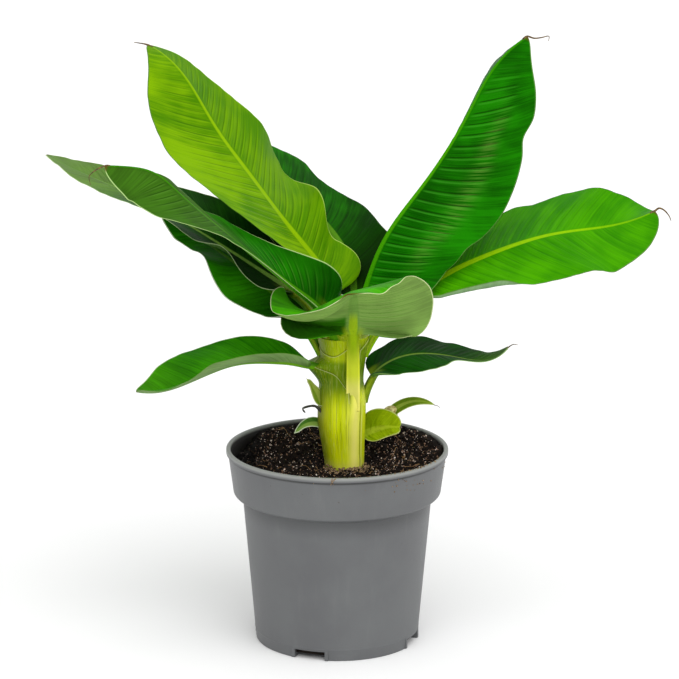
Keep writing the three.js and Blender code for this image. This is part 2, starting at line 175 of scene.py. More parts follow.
# Leaves, by the same rule as their solids, with finer values where the photo's outlines ask for them. half is
# half the blade's width, and skew and round shape its outline. Lists hold values at even steps: heading and
# rise, in degrees, along the rib, and the others along the blade. left and right are the angles at which the
# two halves leave the rib, and fold is that angle at the petiole. cup bends a half towards its margin, trim
# scales its width, and waves are bulges of its margin (place, spread, height). dent narrows the right half
# (place, spread, share) and roll turns its margin in (from, to, degrees). sweep moves the margins forward,
# and stalk scales the petiole.
PLAIN_LEAF = dict(skew=0.78, round=0.62, fold=25, cup={}, trim={}, waves={}, sweep=0.25, stalk=1)
LEAVES = [PLAIN_LEAF | leaf for leaf in (
    dict(name="leaf_tall_left", foot=(5, 4, 264), length=311, petiole=40, half=57, round=0.72,
         heading=[100, 148, 154, 156, 153, 152], rise=[84, 47, 49, 49, 55, 20],
         left=[10, 2, -8, -22, -32, 0], right=[30, 22, 32, 4, 2, 13, 10, 4, -4, 0, -3],
         trim=dict(left=[0.5, 1.1, 1.12, 1],
                   right=[2.26, 0.85, 0.86, 1.08, 1.02, 0.98, 0.96, 0.89, 0.87, 0.81, 0.81]),
         waves=dict(right=[(0.2, 0.07, 6), (0.31, 0.06, -6)])),
    dict(name="leaf_tall_right", foot=(13, 4, 264), length=300, petiole=28, half=73, skew=0.7, round=0.66,
         heading=[22, 11, 11, 8, 5, 8], rise=[81, 71, 52, 57, 62, 32], fold=-40,
         left=[-45, -50, -12, -16], right=[-76, -78, -82, -80],
         trim=dict(right=[1.6, 1.28, 1.03, 0.97, 0.95, 0.92, 0.89, 0.94, 0.95, 0.9, 0.8]), dent=(0.635, 0.04, 0.07)),
    dict(name="leaf_right", foot=(21, -2, 248), length=291, petiole=64, half=54, skew=1.08, round=0.64,
         heading=[21, 16, 11, 9, 5, 3], rise=[66, 38, 24, 16, 6, 27],
         left=[20, 18, 16, 22, 38, -19], right=[-60, -32, -34, -30, -38, -44],
         roll=(0.02, 0.36, 150),
         trim=dict(left=[1, 1, 1, 0.98, 1.08, 0.95, 1.04, 0.99, 0.9, 1.04, 1],
                   right=[1.07, 1.07, 1.07, 1.03, 1, 1, 1, 1, 1, 1, 1]),
         waves=dict(right=[(0.1, 0.08, 4), (0.7, 0.06, -5)])),
    dict(name="leaf_back", foot=(10, 15, 256), length=246, petiole=42, half=48, skew=0.7,
         heading=[50, 95, 133, 145, 147, 147], rise=[82, 55, 42, 34, 33, 28],
         left=[-65, -45, -30, -25, -20], right=[22, 1, 2, -8],
         trim=dict(left=[2.6, 1.3, 1, 1, 1, 1], right=[1, 1.17, 0.91, 1.05, 0.95, 0.92, 1.08, 1.02, 0.96, 1, 1]),
         waves=dict(right=[(0.2, 0.06, 6)])),
    dict(name="leaf_left_front", foot=(-1, -14, 258), length=276, petiole=26, half=52,
         heading=[-145, -157, -160, -160, -160, -161], rise=[83, 60, 41, 42, 41, 41, 41, 44, 42, 12, 4],
         fold=62, left=[0, 0, -6, -22, -58, -60], right=[116, 35, 9, 8, -24, -20],
         trim=dict(left=[0.12, 0.12, 0.12, 0.13, 0.2, 0.55, 0.9, 1.05, 1.1, 1.1, 1.05],
                   right=[1.76, 1, 0.84, 0.9, 1, 1, 1, 1, 1, 1, 1]),
         waves=dict(right=[(0.5, 0.08, -6), (0.68, 0.07, 5)])),
    dict(name="leaf_left_back", foot=(-6, 9, 257), length=300, petiole=50, half=52, skew=0.85,
         heading=[150, 160, 164, 166, 171, 170], rise=[68, 31, 30, 27.5, 21.5, 27],
         left=[-20, 16, 14, 7, 4, 14], right=[32, 34, 17, 2, 5, -8],
         waves=dict(left=[(0.2, 0.05, 5), (0.3, 0.06, -6)])),
    dict(name="leaf_front", foot=(13, -20.4, 205), length=207, petiole=74, half=67, skew=0.66, round=0.45,
         heading=[-80, -88, -90, -92, -93, -94], rise=[87, 85, 62, 30, 14, 8], fold=-16,
         left=[0, -2, 2, 5, 12, 6], right=[22, -10, -38, -60, -29, -21],
         cup=dict(left=[10, 10, 12, 0], right=[15, 91, 79, 84, 5, -33]),
         trim=dict(right=[1.3, 1.49, 1.27, 1.19, 1.13, 1.15, 1.09, 1, 0.93, 0.91, 0.81]),
         waves=dict(left=[(0.85, 0.05, -2.5), (0.94, 0.04, -5)]), sweep=-0.6, stalk=1.28),
    dict(name="leaf_left_low", foot=(-9, 2, 240), length=204, petiole=45, half=31, skew=0.55, round=0.7,
         heading=[150, 151, 152, 155, 157, 159], rise=[64, 48, 32, 29, 30, 34],
         left=[-30, -38, -26, -10, -20, -58], right=[0, 0, 4, 10, 6, 10],
         waves=dict(left=[(0.3, 0.08, -4), (0.52, 0.08, 8), (0.78, 0.07, -3)])),
    dict(name="leaf_lower_left", foot=(-3, -5, 241), length=176, petiole=24, half=37,
         heading=[-150, -162, -172, -176, -180, -180], rise=[13, 9, 0, -22, -21, 10],
         left=[36, 28, 18, 16, 20, 30], right=[52, 28, 20, 28, 32, 15], trim=dict(right=[1, 1, 1, 1.12, 1.15, 1]),
         waves=dict(left=[(0.45, 0.08, 3)])),
    dict(name="leaf_lower_right", foot=(20, 3, 190), length=168, petiole=42, half=35, skew=0.56, round=0.66,
         heading=[30, 10, 4, 4, 0, 0], rise=[89, 66, 21, -6, -6, 54],
         left=[6, 6, 9, 8, 9, 4], right=[-22, -15, -7, 4, 6, 8],
         trim=dict(left=[1.3, 1, 1, 1], right=[1, 1, 0.85, 0.4, 0.35, 0.35]),
         waves=dict(left=[(0.42, 0.07, -3)])),
    dict(name="leaf_small_right", foot=(18, 6, 175), length=39, petiole=4, half=17, skew=0.55, round=0.5,
         heading=[-10, -10], rise=[40, 32, 22, 12, 4, 0],
         left=[65, 65], right=[-65, -65], trim=dict(right=[0.7, 0.6, 0.6, 0.8]), stalk=0.5),
    dict(name="leaf_small_pointed", foot=(17, 10, 171), length=79, petiole=14, half=5, skew=0.9, round=0.8,
         heading=[10, 8, 8, 5, 0, 0], rise=[38, 38, 44, 30, 2, -28],
         left=[30, 30], right=[-30, -30], trim=dict(left=[1.3, 1.3], right=[1.3, 1.3]), stalk=0.5),
    dict(name="leaf_small_left", foot=(-6, -2, 184), length=35, petiole=4, half=7.5, skew=0.5, round=0.9,
         heading=[180, 185, 190, 190, 190, 190], rise=[40, 25, 10, -12, -35, -45],
         left=[-50, -50], right=[40, 40], trim=dict(left=[0.3, 0.3]), stalk=0.5),
    dict(name="sheath_tip", foot=(-11, -7, 205), length=31, petiole=2, half=7, skew=0.45, round=1,
         heading=[190, 190, 185, 180, 180, 180], rise=[75, 70, 65, 55, 50, 45],
         left=[-60, -60], right=[60, 60], trim=dict(right=[0.8, 0.4]), stalk=0.5),
)]

# How a leaf looks: the pleats' spacing at its base and tip and their height, where they end towards the
# margin, the forward slant of its side veins at base and tip, how strongly the painted shade in the pleats'
# grooves and the painted highlight on their ridges show, the rib's half width at base and tip, the petiole's
# two colours, the shine, the height of crumples and the spacing of the mesh's rows. Then the colours of its
# two faces, its rib and its left and right margins, which are partly a paler rim and partly a painted
# highlight. Some leaves have painted shade on the right half (lee), another colour towards the
# tip (far), a painted highlight colour for the ridges (ridge_highlight), painted shade at the base (gloom),
# a pale bloom, painted shade under the curled half (belly_shade), a petiole that merges with the stem, or a
# rib that ends on the petiole.
BROAD = dict(pleat=(6, 8, 0.4), ends=(0.5, 0.85), slant=(0.2, 0.4), groove_shading=0.4, ridges=0.3,
             rib_width=(3.2, 0.8), stalk=("#809c14", "#a0b42c"), gloss=0.05, crumple=0, step=1.1)
LOW = dict(BROAD, pleat=(5, 7, 0.3), groove_shading=0.3, ridges=0.2)
SMALL = dict(BROAD, pleat=(3, 3, 0.1), slant=(0.3, 0.4), groove_shading=0.2, ridges=0.1)
LOOKS = {
    "leaf_tall_left": dict(
        BROAD, pleat=(7, 9, 0.5), slant=(0.25, 0.45), ridges=0.4, top="#7aa804", deep="#457c00",
        under="#7ea24c", rib="#8cb404", margins=("#55802c", "#a8c858"), lee=0.4,
        stalk=("#4c7c04", "#6c9c0c")),
    "leaf_tall_right": dict(
        BROAD, pleat=(6.5, 13, 1.0), ends=(0.6, 0.72), slant=(-0.2, 0.65), groove_shading=0.75, ridges=0.4,
        bloom=0.25, top="#187c02", deep="#085000", under="#4f8440", rib="#489c04", ridge_highlight="#389020",
        margins=("#3c6a24", "#5c8c3c"), rib_width=(3.4, 1.1), step=0.75, stalk=("#245004", "#386c0c")),
    "leaf_right": dict(
        BROAD, pleat=(7, 9, 0.35), slant=(0.2, 0.5), groove_shading=0.25, ridges=0.2, top="#48a000",
        deep="#2c8000", under="#7ea070", rib="#9ccc04", margins=("#3f7818", "#5f8838")),
    "leaf_back": dict(
        BROAD, pleat=(7, 9, 0.6), slant=(0.1, 0.3), top="#207404", deep="#0c4400", under="#4a8a34",
        rib="#5f9420", margins=("#6a8a5a", "#2c4c1c"), gloom=(0.95, 0.5), gloss=0.03,
        stalk=("#1c3c04", "#2c5408")),
    "leaf_left_front": dict(
        BROAD, groove_shading=0.6, top="#1c7802", deep="#0c5000", under="#55803a", rib="#4c8c0c",
        margins=("#a9c77e", "#a9c77e"), gloom=(0.4, 0.25), far=("#3f6c18", 0.3, 0.6), ridge_highlight="#5c8c34",
        gloss=0.02),
    "leaf_left_back": dict(
        BROAD, top="#246c06", deep="#0e4402", under="#5a8c30", rib="#8cb450",
        margins=("#b8cc98", "#a8c078"), gloom=(0.85, 0.55), far=("#6c9438", 0.5, 0.8)),
    "leaf_front": dict(
        BROAD, pleat=(4.2, 6, 0.35), slant=(0.3, 0.5), groove_shading=0.45, top="#48ac04", deep="#2c7404",
        under="#82a850", rib="#9cb414", margins=("#d0dca0", "#d4dca8"), merge=0.16, belly_shade="#2c6c08",
        rib_end=0.1, rib_width=(3.6, 0.8), stalk=("#6c8c08", "#94ac14")),
    "leaf_left_low": dict(
        LOW, top="#349804", deep="#1c6c02", under="#4a7a2c", rib="#5c9c14",
        margins=("#dce8c8", "#dce8c8"), gloom=(0.6, 0.5)),
    "leaf_lower_left": dict(
        LOW, top="#389004", deep="#1c6802", under="#84a862", rib="#6ca414",
        margins=("#4f8420", "#b4c890"), far=("#449c08", 0.5, 0.9), stalk=("#2c5c04", "#447010")),
    "leaf_lower_right": dict(
        LOW, top="#145404", deep="#083400", under="#5f8c38", rib="#7c9c3c",
        margins=("#48702c", "#86a860"), gloss=0.02, far=("#3c6c10", 0.6, 0.9), rib_width=(1.6, 0.6)),
    "leaf_small_right": dict(
        SMALL, pleat=(3, 3, 0.15), crumple=1.6, top="#a8c010", deep="#7c9804", under="#9ab02c",
        rib="#a8bc2c", margins=("#c4cc70", "#c4cc70")),
    "leaf_small_pointed": dict(
        SMALL, top="#7c9820", deep="#5c7e10", under="#8ca43c", rib="#a4b848",
        margins=("#b4c068", "#b4c068")),
    "leaf_small_left": dict(
        SMALL, pleat=(3, 3, 0.15), top="#5a8634", deep="#3c681c", under="#74944c", rib="#8ca84c",
        margins=("#c8d4b0", "#c8d4b0")),
    "sheath_tip": dict(
        SMALL, top="#7c9428", deep="#5c7c18", under="#7c9434", rib="#a0b048",
        margins=("#b8c078", "#b8c078")),
}

# Brown dried threads at the leaf tips: steps from the tip, and the radius at the tip
TIP_THREADS = {
    "leaf_tall_left": ([(-4, 0, 1.2), (-12, 0, 2.4)], 1.0),
    "leaf_tall_right": ([(6, 0, -1.6), (12, 0, -1), (18, 0, 0.2), (18, 0, -4)], 0.75),
    "leaf_right": ([(3.5, 0, 2.4), (8, 0, 0.6), (12, 0, -4), (14, 0, -8.5)], 0.9),
    "leaf_left_front": ([(-8, 0, -4), (-13, 0, -9), (-12, 0, -16)], 0.6),
    "leaf_lower_right": ([(4, 0, 2.5), (8, 0, 2)], 0.6),
    "leaf_small_pointed": ([(3, 0, -1), (5, 0, -3)], 0.35),
}


def smoothstep(x, low, high):
    t = np.clip((x - low) / (high - low), 0, 1)
    return t * t * (3 - 2 * t)


def between(x, low, up, down, end):
    """Rises from 0 to 1 between two values and falls again between two more"""
    return smoothstep(x, low, up) * (1 - smoothstep(x, down, end))


def bell(x, place, spread):
    return np.exp(-(((x - place) / spread) ** 2))


def polar(radius, turn, level):
    """Points round the upright axis"""
    return np.stack(np.broadcast_arrays(radius * np.cos(turn), radius * np.sin(turn), level), -1)


def lerp(a, b, t):
    return a + (b - a) * t


def profile(values, s):
    """Smooth curve through evenly spaced values"""
    values = np.asarray(values, float)
    last = len(values) - 1
    x = np.clip(s, 0, 1) * last
    i = np.minimum(np.floor(x).astype(int), last - 1)
    t = x - i
    a = values[i]
    b = values[i + 1]
    slope_a = np.where(i > 0, (b - values[np.maximum(i - 1, 0)]) / 2, b - a)
    slope_b = np.where(i + 2 <= last, (values[np.minimum(i + 2, last)] - a) / 2, b - a)
    return ((2 * t**3 - 3 * t**2 + 1) * a + (t**3 - 2 * t**2 + t) * slope_a
            + (3 * t**2 - 2 * t**3) * b + (t**3 - t**2) * slope_b)


def ripples(x, seed, waves=5):
    """Sum of sines of falling height and rising pitch, with phases from a seed"""
    rng = np.random.default_rng(seed)
    total = np.zeros_like(x, dtype=float)
    for k in range(waves):
        total += np.sin(x * (1.7**k) * rng.uniform(0.8, 1.25) + rng.uniform(0, 2 * math.pi)) / (1.45**k)
    return total / 2


def make_object(name, points, faces, attributes=None):
    """Mesh object from points in millimetres and a list of equal-sided face arrays"""
    mesh = bpy.data.meshes.new(name)
    points = np.asarray(points, np.float32) * MM
    mesh.vertices.add(len(points))
    mesh.vertices.foreach_set("co", points.ravel())
    faces = [np.asarray(group, np.int32) for group in faces if len(group)]
    sizes = np.concatenate([np.full(len(group), group.shape[1]) for group in faces])
    loops = np.concatenate([group.ravel() for group in faces])
    mesh.loops.add(len(loops))
    mesh.loops.foreach_set("vertex_index", loops)
    mesh.polygons.add(len(sizes))
    mesh.polygons.foreach_set("loop_start", np.concatenate([[0], np.cumsum(sizes)[:-1]]).astype(np.int32))
    mesh.update(calc_edges=True)
    for key, values in (attributes or {}).items():
        layer = mesh.attributes.new(key, "FLOAT", "POINT")
        layer.data.foreach_set("value", np.asarray(values, np.float32).ravel())
    mesh.shade_smooth()
    item = bpy.data.objects.new(name, mesh)
    bpy.context.scene.collection.objects.link(item)
    return item


def place_piece(item, material, replaced=()):
    item.data.materials.clear()
    item.data.materials.append(material)
    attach(item, BODY)
    if replaced:
        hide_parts(*replaced)
    return item


def shaded(colour, share):
    """A #rrggbb colour made darker"""
    return "#" + "".join(f"{int(int(colour[i:i + 2], 16) * share):02x}" for i in (1, 3, 5))


def linear(colour):
    """Linear colour of a #rrggbb one"""
    channels = [int(colour[i:i + 2], 16) / 255 for i in (1, 3, 5)]
    return [c / 12.92 if c <= 0.04045 else ((c + 0.055) / 1.055) ** 2.4 for c in channels] + [1.0]


class Finish:
    """A node material on one Principled shader. A colour is a socket or #rrggbb."""

    def __init__(self, name, gloss=0.5, tint=(1, 1, 1)):
        self.material = bpy.data.materials.new(name)
        self.material.use_nodes = True
        self.tree = self.material.node_tree
        self.shader = self.tree.nodes["Principled BSDF"]
        self.shader.inputs["Specular IOR Level"].default_value = gloss
        self.shader.inputs["Specular Tint"].default_value = (*tint, 1)

    def feed(self, socket, value):
        if isinstance(value, bpy.types.NodeSocket):
            self.tree.links.new(value, socket)
        else:
            socket.default_value = linear(value) if isinstance(value, str) else value

    def node(self, kind, inputs=None, **properties):
        node = self.tree.nodes.new("ShaderNode" + kind)
        for key, value in properties.items():
            setattr(node, key, value)
        for key, value in (inputs or {}).items():
            self.feed(node.inputs[key], value)
        return node

    def calc(self, operation, *values):
        return self.node("Math", dict(enumerate(values)), operation=operation).outputs[0]

    def product(self, first, *others):
        for value in others:
            first = self.calc("MULTIPLY", first, value)
        return first

    def attributes(self, *names):
        return [self.node("Attribute", attribute_name=name).outputs["Fac"] for name in names]

    def place(self):
        return self.node("TexCoord").outputs["Object"]

    def stretched(self, vector, share):
        """A field drawn out upwards"""
        return self.node("Mapping", {"Vector": vector, "Scale": (1, 1, share)}).outputs[0]

    def parts(self, vector):
        return self.node("SeparateXYZ", {0: vector}).outputs

    def vector(self, x, y, z=0):
        return self.node("CombineXYZ", {0: x, 1: y, 2: z}).outputs[0]

    def noise(self, vector, scale, detail, roughness=0.55):
        inputs = {"Vector": vector, "Scale": scale, "Detail": detail, "Roughness": roughness}
        return self.node("TexNoise", inputs).outputs["Fac"]

    def spread(self, value, low, high, to_low=0, to_high=1):
        """Value moved from one range to another along a smooth step"""
        inputs = {"Value": value, "From Min": low, "From Max": high, "To Min": to_low, "To Max": to_high}
        return self.node("MapRange", inputs, interpolation_type="SMOOTHSTEP").outputs["Result"]

    def mix(self, factor, a, b):
        return self.node("Mix", {0: factor, 6: a, 7: b}, data_type="RGBA").outputs[2]

    def coat(self, colour, *coats):
        """A colour under coats. A coat is a colour and factors: their product is how far it covers."""
        for over, *factors in coats:
            colour = self.mix(self.product(*factors), colour, over)
        return colour

    def bump(self, height, distance, normal=None, strength=1):
        inputs = {"Height": height, "Distance": distance, "Strength": strength}
        if normal is not None:
            inputs["Normal"] = normal
        return self.node("Bump", inputs).outputs["Normal"]

    def finish(self, colour, roughness, normal=None):
        self.feed(self.shader.inputs["Base Color"], colour)
        self.feed(self.shader.inputs["Roughness"], roughness)
        if normal is not None:
            self.feed(self.shader.inputs["Normal"], normal)
        return self.material


# Leaves

def rib_of(leaf, s):
    """Places and axes along a leaf's rib: along it, to its left side and up from its upper face"""
    steps = 160
    even = np.linspace(0, 1, steps + 1)
    heading = np.radians(profile(leaf["heading"], even))
    rise = np.radians(profile(leaf["rise"], even))
    flat = np.cos(rise)
    along = np.stack([flat * np.cos(heading), flat * np.sin(heading), np.sin(rise)], -1)
    side = np.stack([-np.sin(heading), np.cos(heading), 0 * heading], -1)
    strides = (along[1:] + along[:-1]) * leaf["length"] / steps / 2
    place = np.asarray(leaf["foot"]) + np.vstack([np.zeros(3), np.cumsum(strides, 0)])

    def at(values):
        return np.stack([np.interp(s, even, values[:, k]) for k in range(3)], -1)

    along, side, place = at(along), at(side), at(place)
    along /= np.linalg.norm(along, axis=-1, keepdims=True)
    side /= np.linalg.norm(side, axis=-1, keepdims=True)
    return place, along, side, np.cross(along, side)


def half_blade(leaf, s, q, name):
    """Width, sideways reach, lift and forward sweep of one half of a leaf"""
    bare = leaf["petiole"] / leaf["length"]
    b = (s - bare) / (1 - bare)
    stalk = lerp(*STALK_HALF, np.minimum(s / bare, 1)) * leaf["stalk"]
    stalk = stalk * np.where(b > 0, 1 - TIP_TAPER * smoothstep(s, 0.85, 1), 1)
    blade = leaf["half"] * np.sin(np.pi * np.clip(b, 0, 1) ** leaf["skew"]).clip(0) ** leaf["round"]
    blade = blade * profile(leaf["trim"].get(name, [1, 1]), b)
    rolled = 0
    if name == "right" and "dent" in leaf:
        place, spread, depth = leaf["dent"]
        blade = blade * (1 - depth * bell(b, place, spread))
    if name == "right" and "roll" in leaf:
        low, high, degrees = leaf["roll"]
        rolled = math.radians(degrees) * between(b, low, low + 0.06, high - 0.15, high)
    width = (stalk**6 + blade**6) ** (1 / 6)
    opened = smoothstep(b, 0, 0.08)
    start = np.radians(lerp(leaf["fold"], profile(leaf[name], b), opened))
    cup = np.radians(opened * profile(leaf["cup"].get(name, [0, 0]), b))

    # The half is bent in slices from the rib to the place q, then moved by its waves
    out = lift = wave = 0
    for k in range(BEND_SLICES):
        here = q * (k + 0.5) / BEND_SLICES
        angle = start + cup * here + rolled * smoothstep(here, 0.84, 0.96)
        out = out + np.cos(angle) * q * width / BEND_SLICES
        lift = lift + np.sin(angle) * q * width / BEND_SLICES
    for place, spread, height in leaf["waves"].get(name, []):
        wave = wave + height * bell(b, place, spread) * q * q
    end = start + cup * q
    sweep = leaf["sweep"] * q + MARGIN_SWEEP * q * q
    return width, out - wave * np.sin(end), lift + wave * np.cos(end), width * sweep * np.clip(b * 12, 0, 1)


def surface_normals(points):
    down = np.gradient(points, axis=0)
    across = np.gradient(points, axis=1)
    normals = np.cross(down, across)
    return normals / np.maximum(np.linalg.norm(normals, axis=-1, keepdims=True), 1e-9)


def shell_faces(rows, count):
    """Faces of a closed shell of two layers that share their first and last columns. Its points are those of
    the upper layer, then those of the lower one between the two columns."""
    upper = np.arange(rows * count).reshape(rows, count)
    inner = upper.size + np.arange(rows * (count - 2)).reshape(rows, count - 2)
    lower = np.hstack([upper[:, :1], inner, upper[:, -1:]])
    above, below = (
        np.stack([grid[:-1, :-1], grid[1:, :-1], grid[1:, 1:], grid[:-1, 1:]], -1).reshape(-1, 4)
        for grid in (upper, lower)
    )
    faces = [above, below[:, ::-1]]
    triangles = []
    for row, order in ((0, 1), (-1, -1)):
        u, w = upper[row], lower[row]
        faces.append(np.stack([u[1:-2], u[2:-1], w[2:-1], w[1:-2]], -1)[:, ::order])
        triangles += [[u[0], u[1], w[1]][::order], [u[-2], u[-1], w[-2]][::order]]
    return faces + [np.array(triangles)]


def clear_of_stem(points):
    """How far points stand out from the stem's side"""
    x, y, level = (points[..., k] for k in range(3))
    share = (level - STEM_FOOT) / (STEM_TOP - STEM_FOOT)
    x = x - profile(STEM_AXIS_X, share)
    return np.hypot(x, y) - profile(STEM_RADIUS, share) - stem_bulge(level, np.degrees(np.arctan2(y, x)))


def leaf_mesh(leaf, look, seed):
    """Mesh of a leaf: s runs along its rib, v from its right to its left margin, and b along its blade"""
    length, bare = leaf["length"], leaf["petiole"] / leaf["length"]
    even = np.linspace(0, 1, max(int(length / look["step"]), FEWEST_ROWS) + 1)
    s = (even + ROW_EASE * np.sin(2 * np.pi * even))[:, None]
    even = np.linspace(0, 1, HALF_COLUMNS + 1)
    half = even - COLUMN_EASE * np.sin(2 * np.pi * even) / (2 * np.pi)
    v = np.concatenate([-half[::-1], half[1:]])[None, :]
    q = np.abs(v) + 0 * s
    b = (s - bare) / (1 - bare) + 0 * v
    left, right = (half_blade(leaf, s, np.abs(v), name) for name in ("left", "right"))
    width, out, lift, forward = (np.where(v > 0, *pair) for pair in zip(left, right))
    reach = q * width
    eased = smoothstep(s, 0, look["merge"]) if "merge" in look else 1
    out = np.sign(v) * out * lerp(MERGE_WIDTH, 1, eased)
    place, along, side, up = (axis[:, None] for axis in rib_of(leaf, s[:, 0]))
    points = place + side * out[..., None] + up * lift[..., None] + along * forward[..., None]

    # Pleats between the side veins, and a gentle unevenness that grows towards the margins
    normals = surface_normals(points)
    run = s * length + 0 * q
    vein = run - lerp(*look["slant"], b.clip(0, 1)) * reach
    near_pitch, far_pitch, height = look["pleat"]
    turns = vein / near_pitch
    if far_pitch > near_pitch:
        pitch = lerp(near_pitch, far_pitch, (vein / length).clip(-0.2, 1.2))
        turns = length * np.log(pitch / near_pitch) / (far_pitch - near_pitch)
    turns = turns + 0.25 * ripples(vein / 40, seed) + 0.5 * (v > 0)
    phase = turns % 1
    tooth = smoothstep(np.where(phase < PLEAT_CREST, phase / PLEAT_CREST, (1 - phase) / (1 - PLEAT_CREST)), 0, 1)
    fade, stop = look["ends"]
    pleated = smoothstep(reach, 2, 7) * (1 - smoothstep(q, fade, stop)) * between(b, 0.02, 0.12, 0.75, 0.95)
    bloom = bell(q, fade - 0.06, 0.1) * between(b, 0.05, 0.2, 0.6, 0.8)
    swell = 0.8 * ripples(run / 17 + 3 * (v > 0), seed + 11) * smoothstep(q, 0.45, 1) ** 2
    swell = swell * smoothstep(reach, 6, 22) * smoothstep(b, 0.03, 0.2)
    creases = look["crumple"] * ripples(run / 4 + 2 * (v > 0), seed + 3) * ripples(reach / 4, seed + 4)
    swell = swell + creases * smoothstep(b, 0.02, 0.2)
    points = points + normals * (height * (tooth - 0.5) * pleated + swell)[..., None]
    normals = surface_normals(points)

    # Thickness: a rounded stalk, a blade that thins towards its margins, and a rib that stands out below.
    # A petiole that merges with the stem sinks into it towards its foot.
    small = min(leaf["stalk"], 1)
    stalk = 1 - smoothstep(s, bare * 0.8, bare + 0.12)
    round_v = 1 - v**2
    blade = lerp(BLADE_HALF_THICK, MARGIN_HALF_THICK, q**3)
    channel = 0.5 * bell(reach, 0, 1.6) * (1 - stalk) * (1 - b.clip(0, 1))
    rib = 2.2 * bell(reach, 0, 2.4) * (1 - s)
    above = small * (lerp(blade, 1.6 * np.sqrt(round_v), stalk) - channel) * lerp(MERGE_ABOVE, 1, eased)
    below = small * lerp(blade + rib, 0.9 * np.sqrt(round_v) + STALK_KEEL * round_v, stalk)
    below = below * lerp(MERGE_BELOW, 1, eased)
    above[:, [0, -1]] = below[:, [0, -1]] = 0
    sunk = points + np.array([0, MERGE_DEPTH, 0]) * (1 - eased * np.ones_like(q))[..., None]

    # The stretch deep inside the stem is left off
    shown = (clear_of_stem(points) > -STEM_SKIN) | (points[..., 2] > STEM_TOP - STEM_TOP_BAND)
    first = max(int(np.argmax(shown.any(axis=1))) - 2, 0)

    def both(upper, lower):
        return np.concatenate([upper[first:].reshape(-1, *upper.shape[2:]),
                               lower[first:, 1:-1].reshape(-1, *upper.shape[2:])])

    vertices = both(sunk + normals * above[..., None], sunk - normals * below[..., None])
    attributes = {
        "vein": vein, "out": reach * np.sign(v), "edge": (1 - q) * width, "along": b, "turns": turns,
        "pleated": pleated, "bloom": bloom,
    }
    attributes = {key: both(values, values) for key, values in attributes.items()}
    attributes["under"] = both(0 * q, 0 * q + 1)
    faces = shell_faces(q.shape[0] - first, q.shape[1])
    return make_object("fine_" + leaf["name"], vertices, faces, attributes)


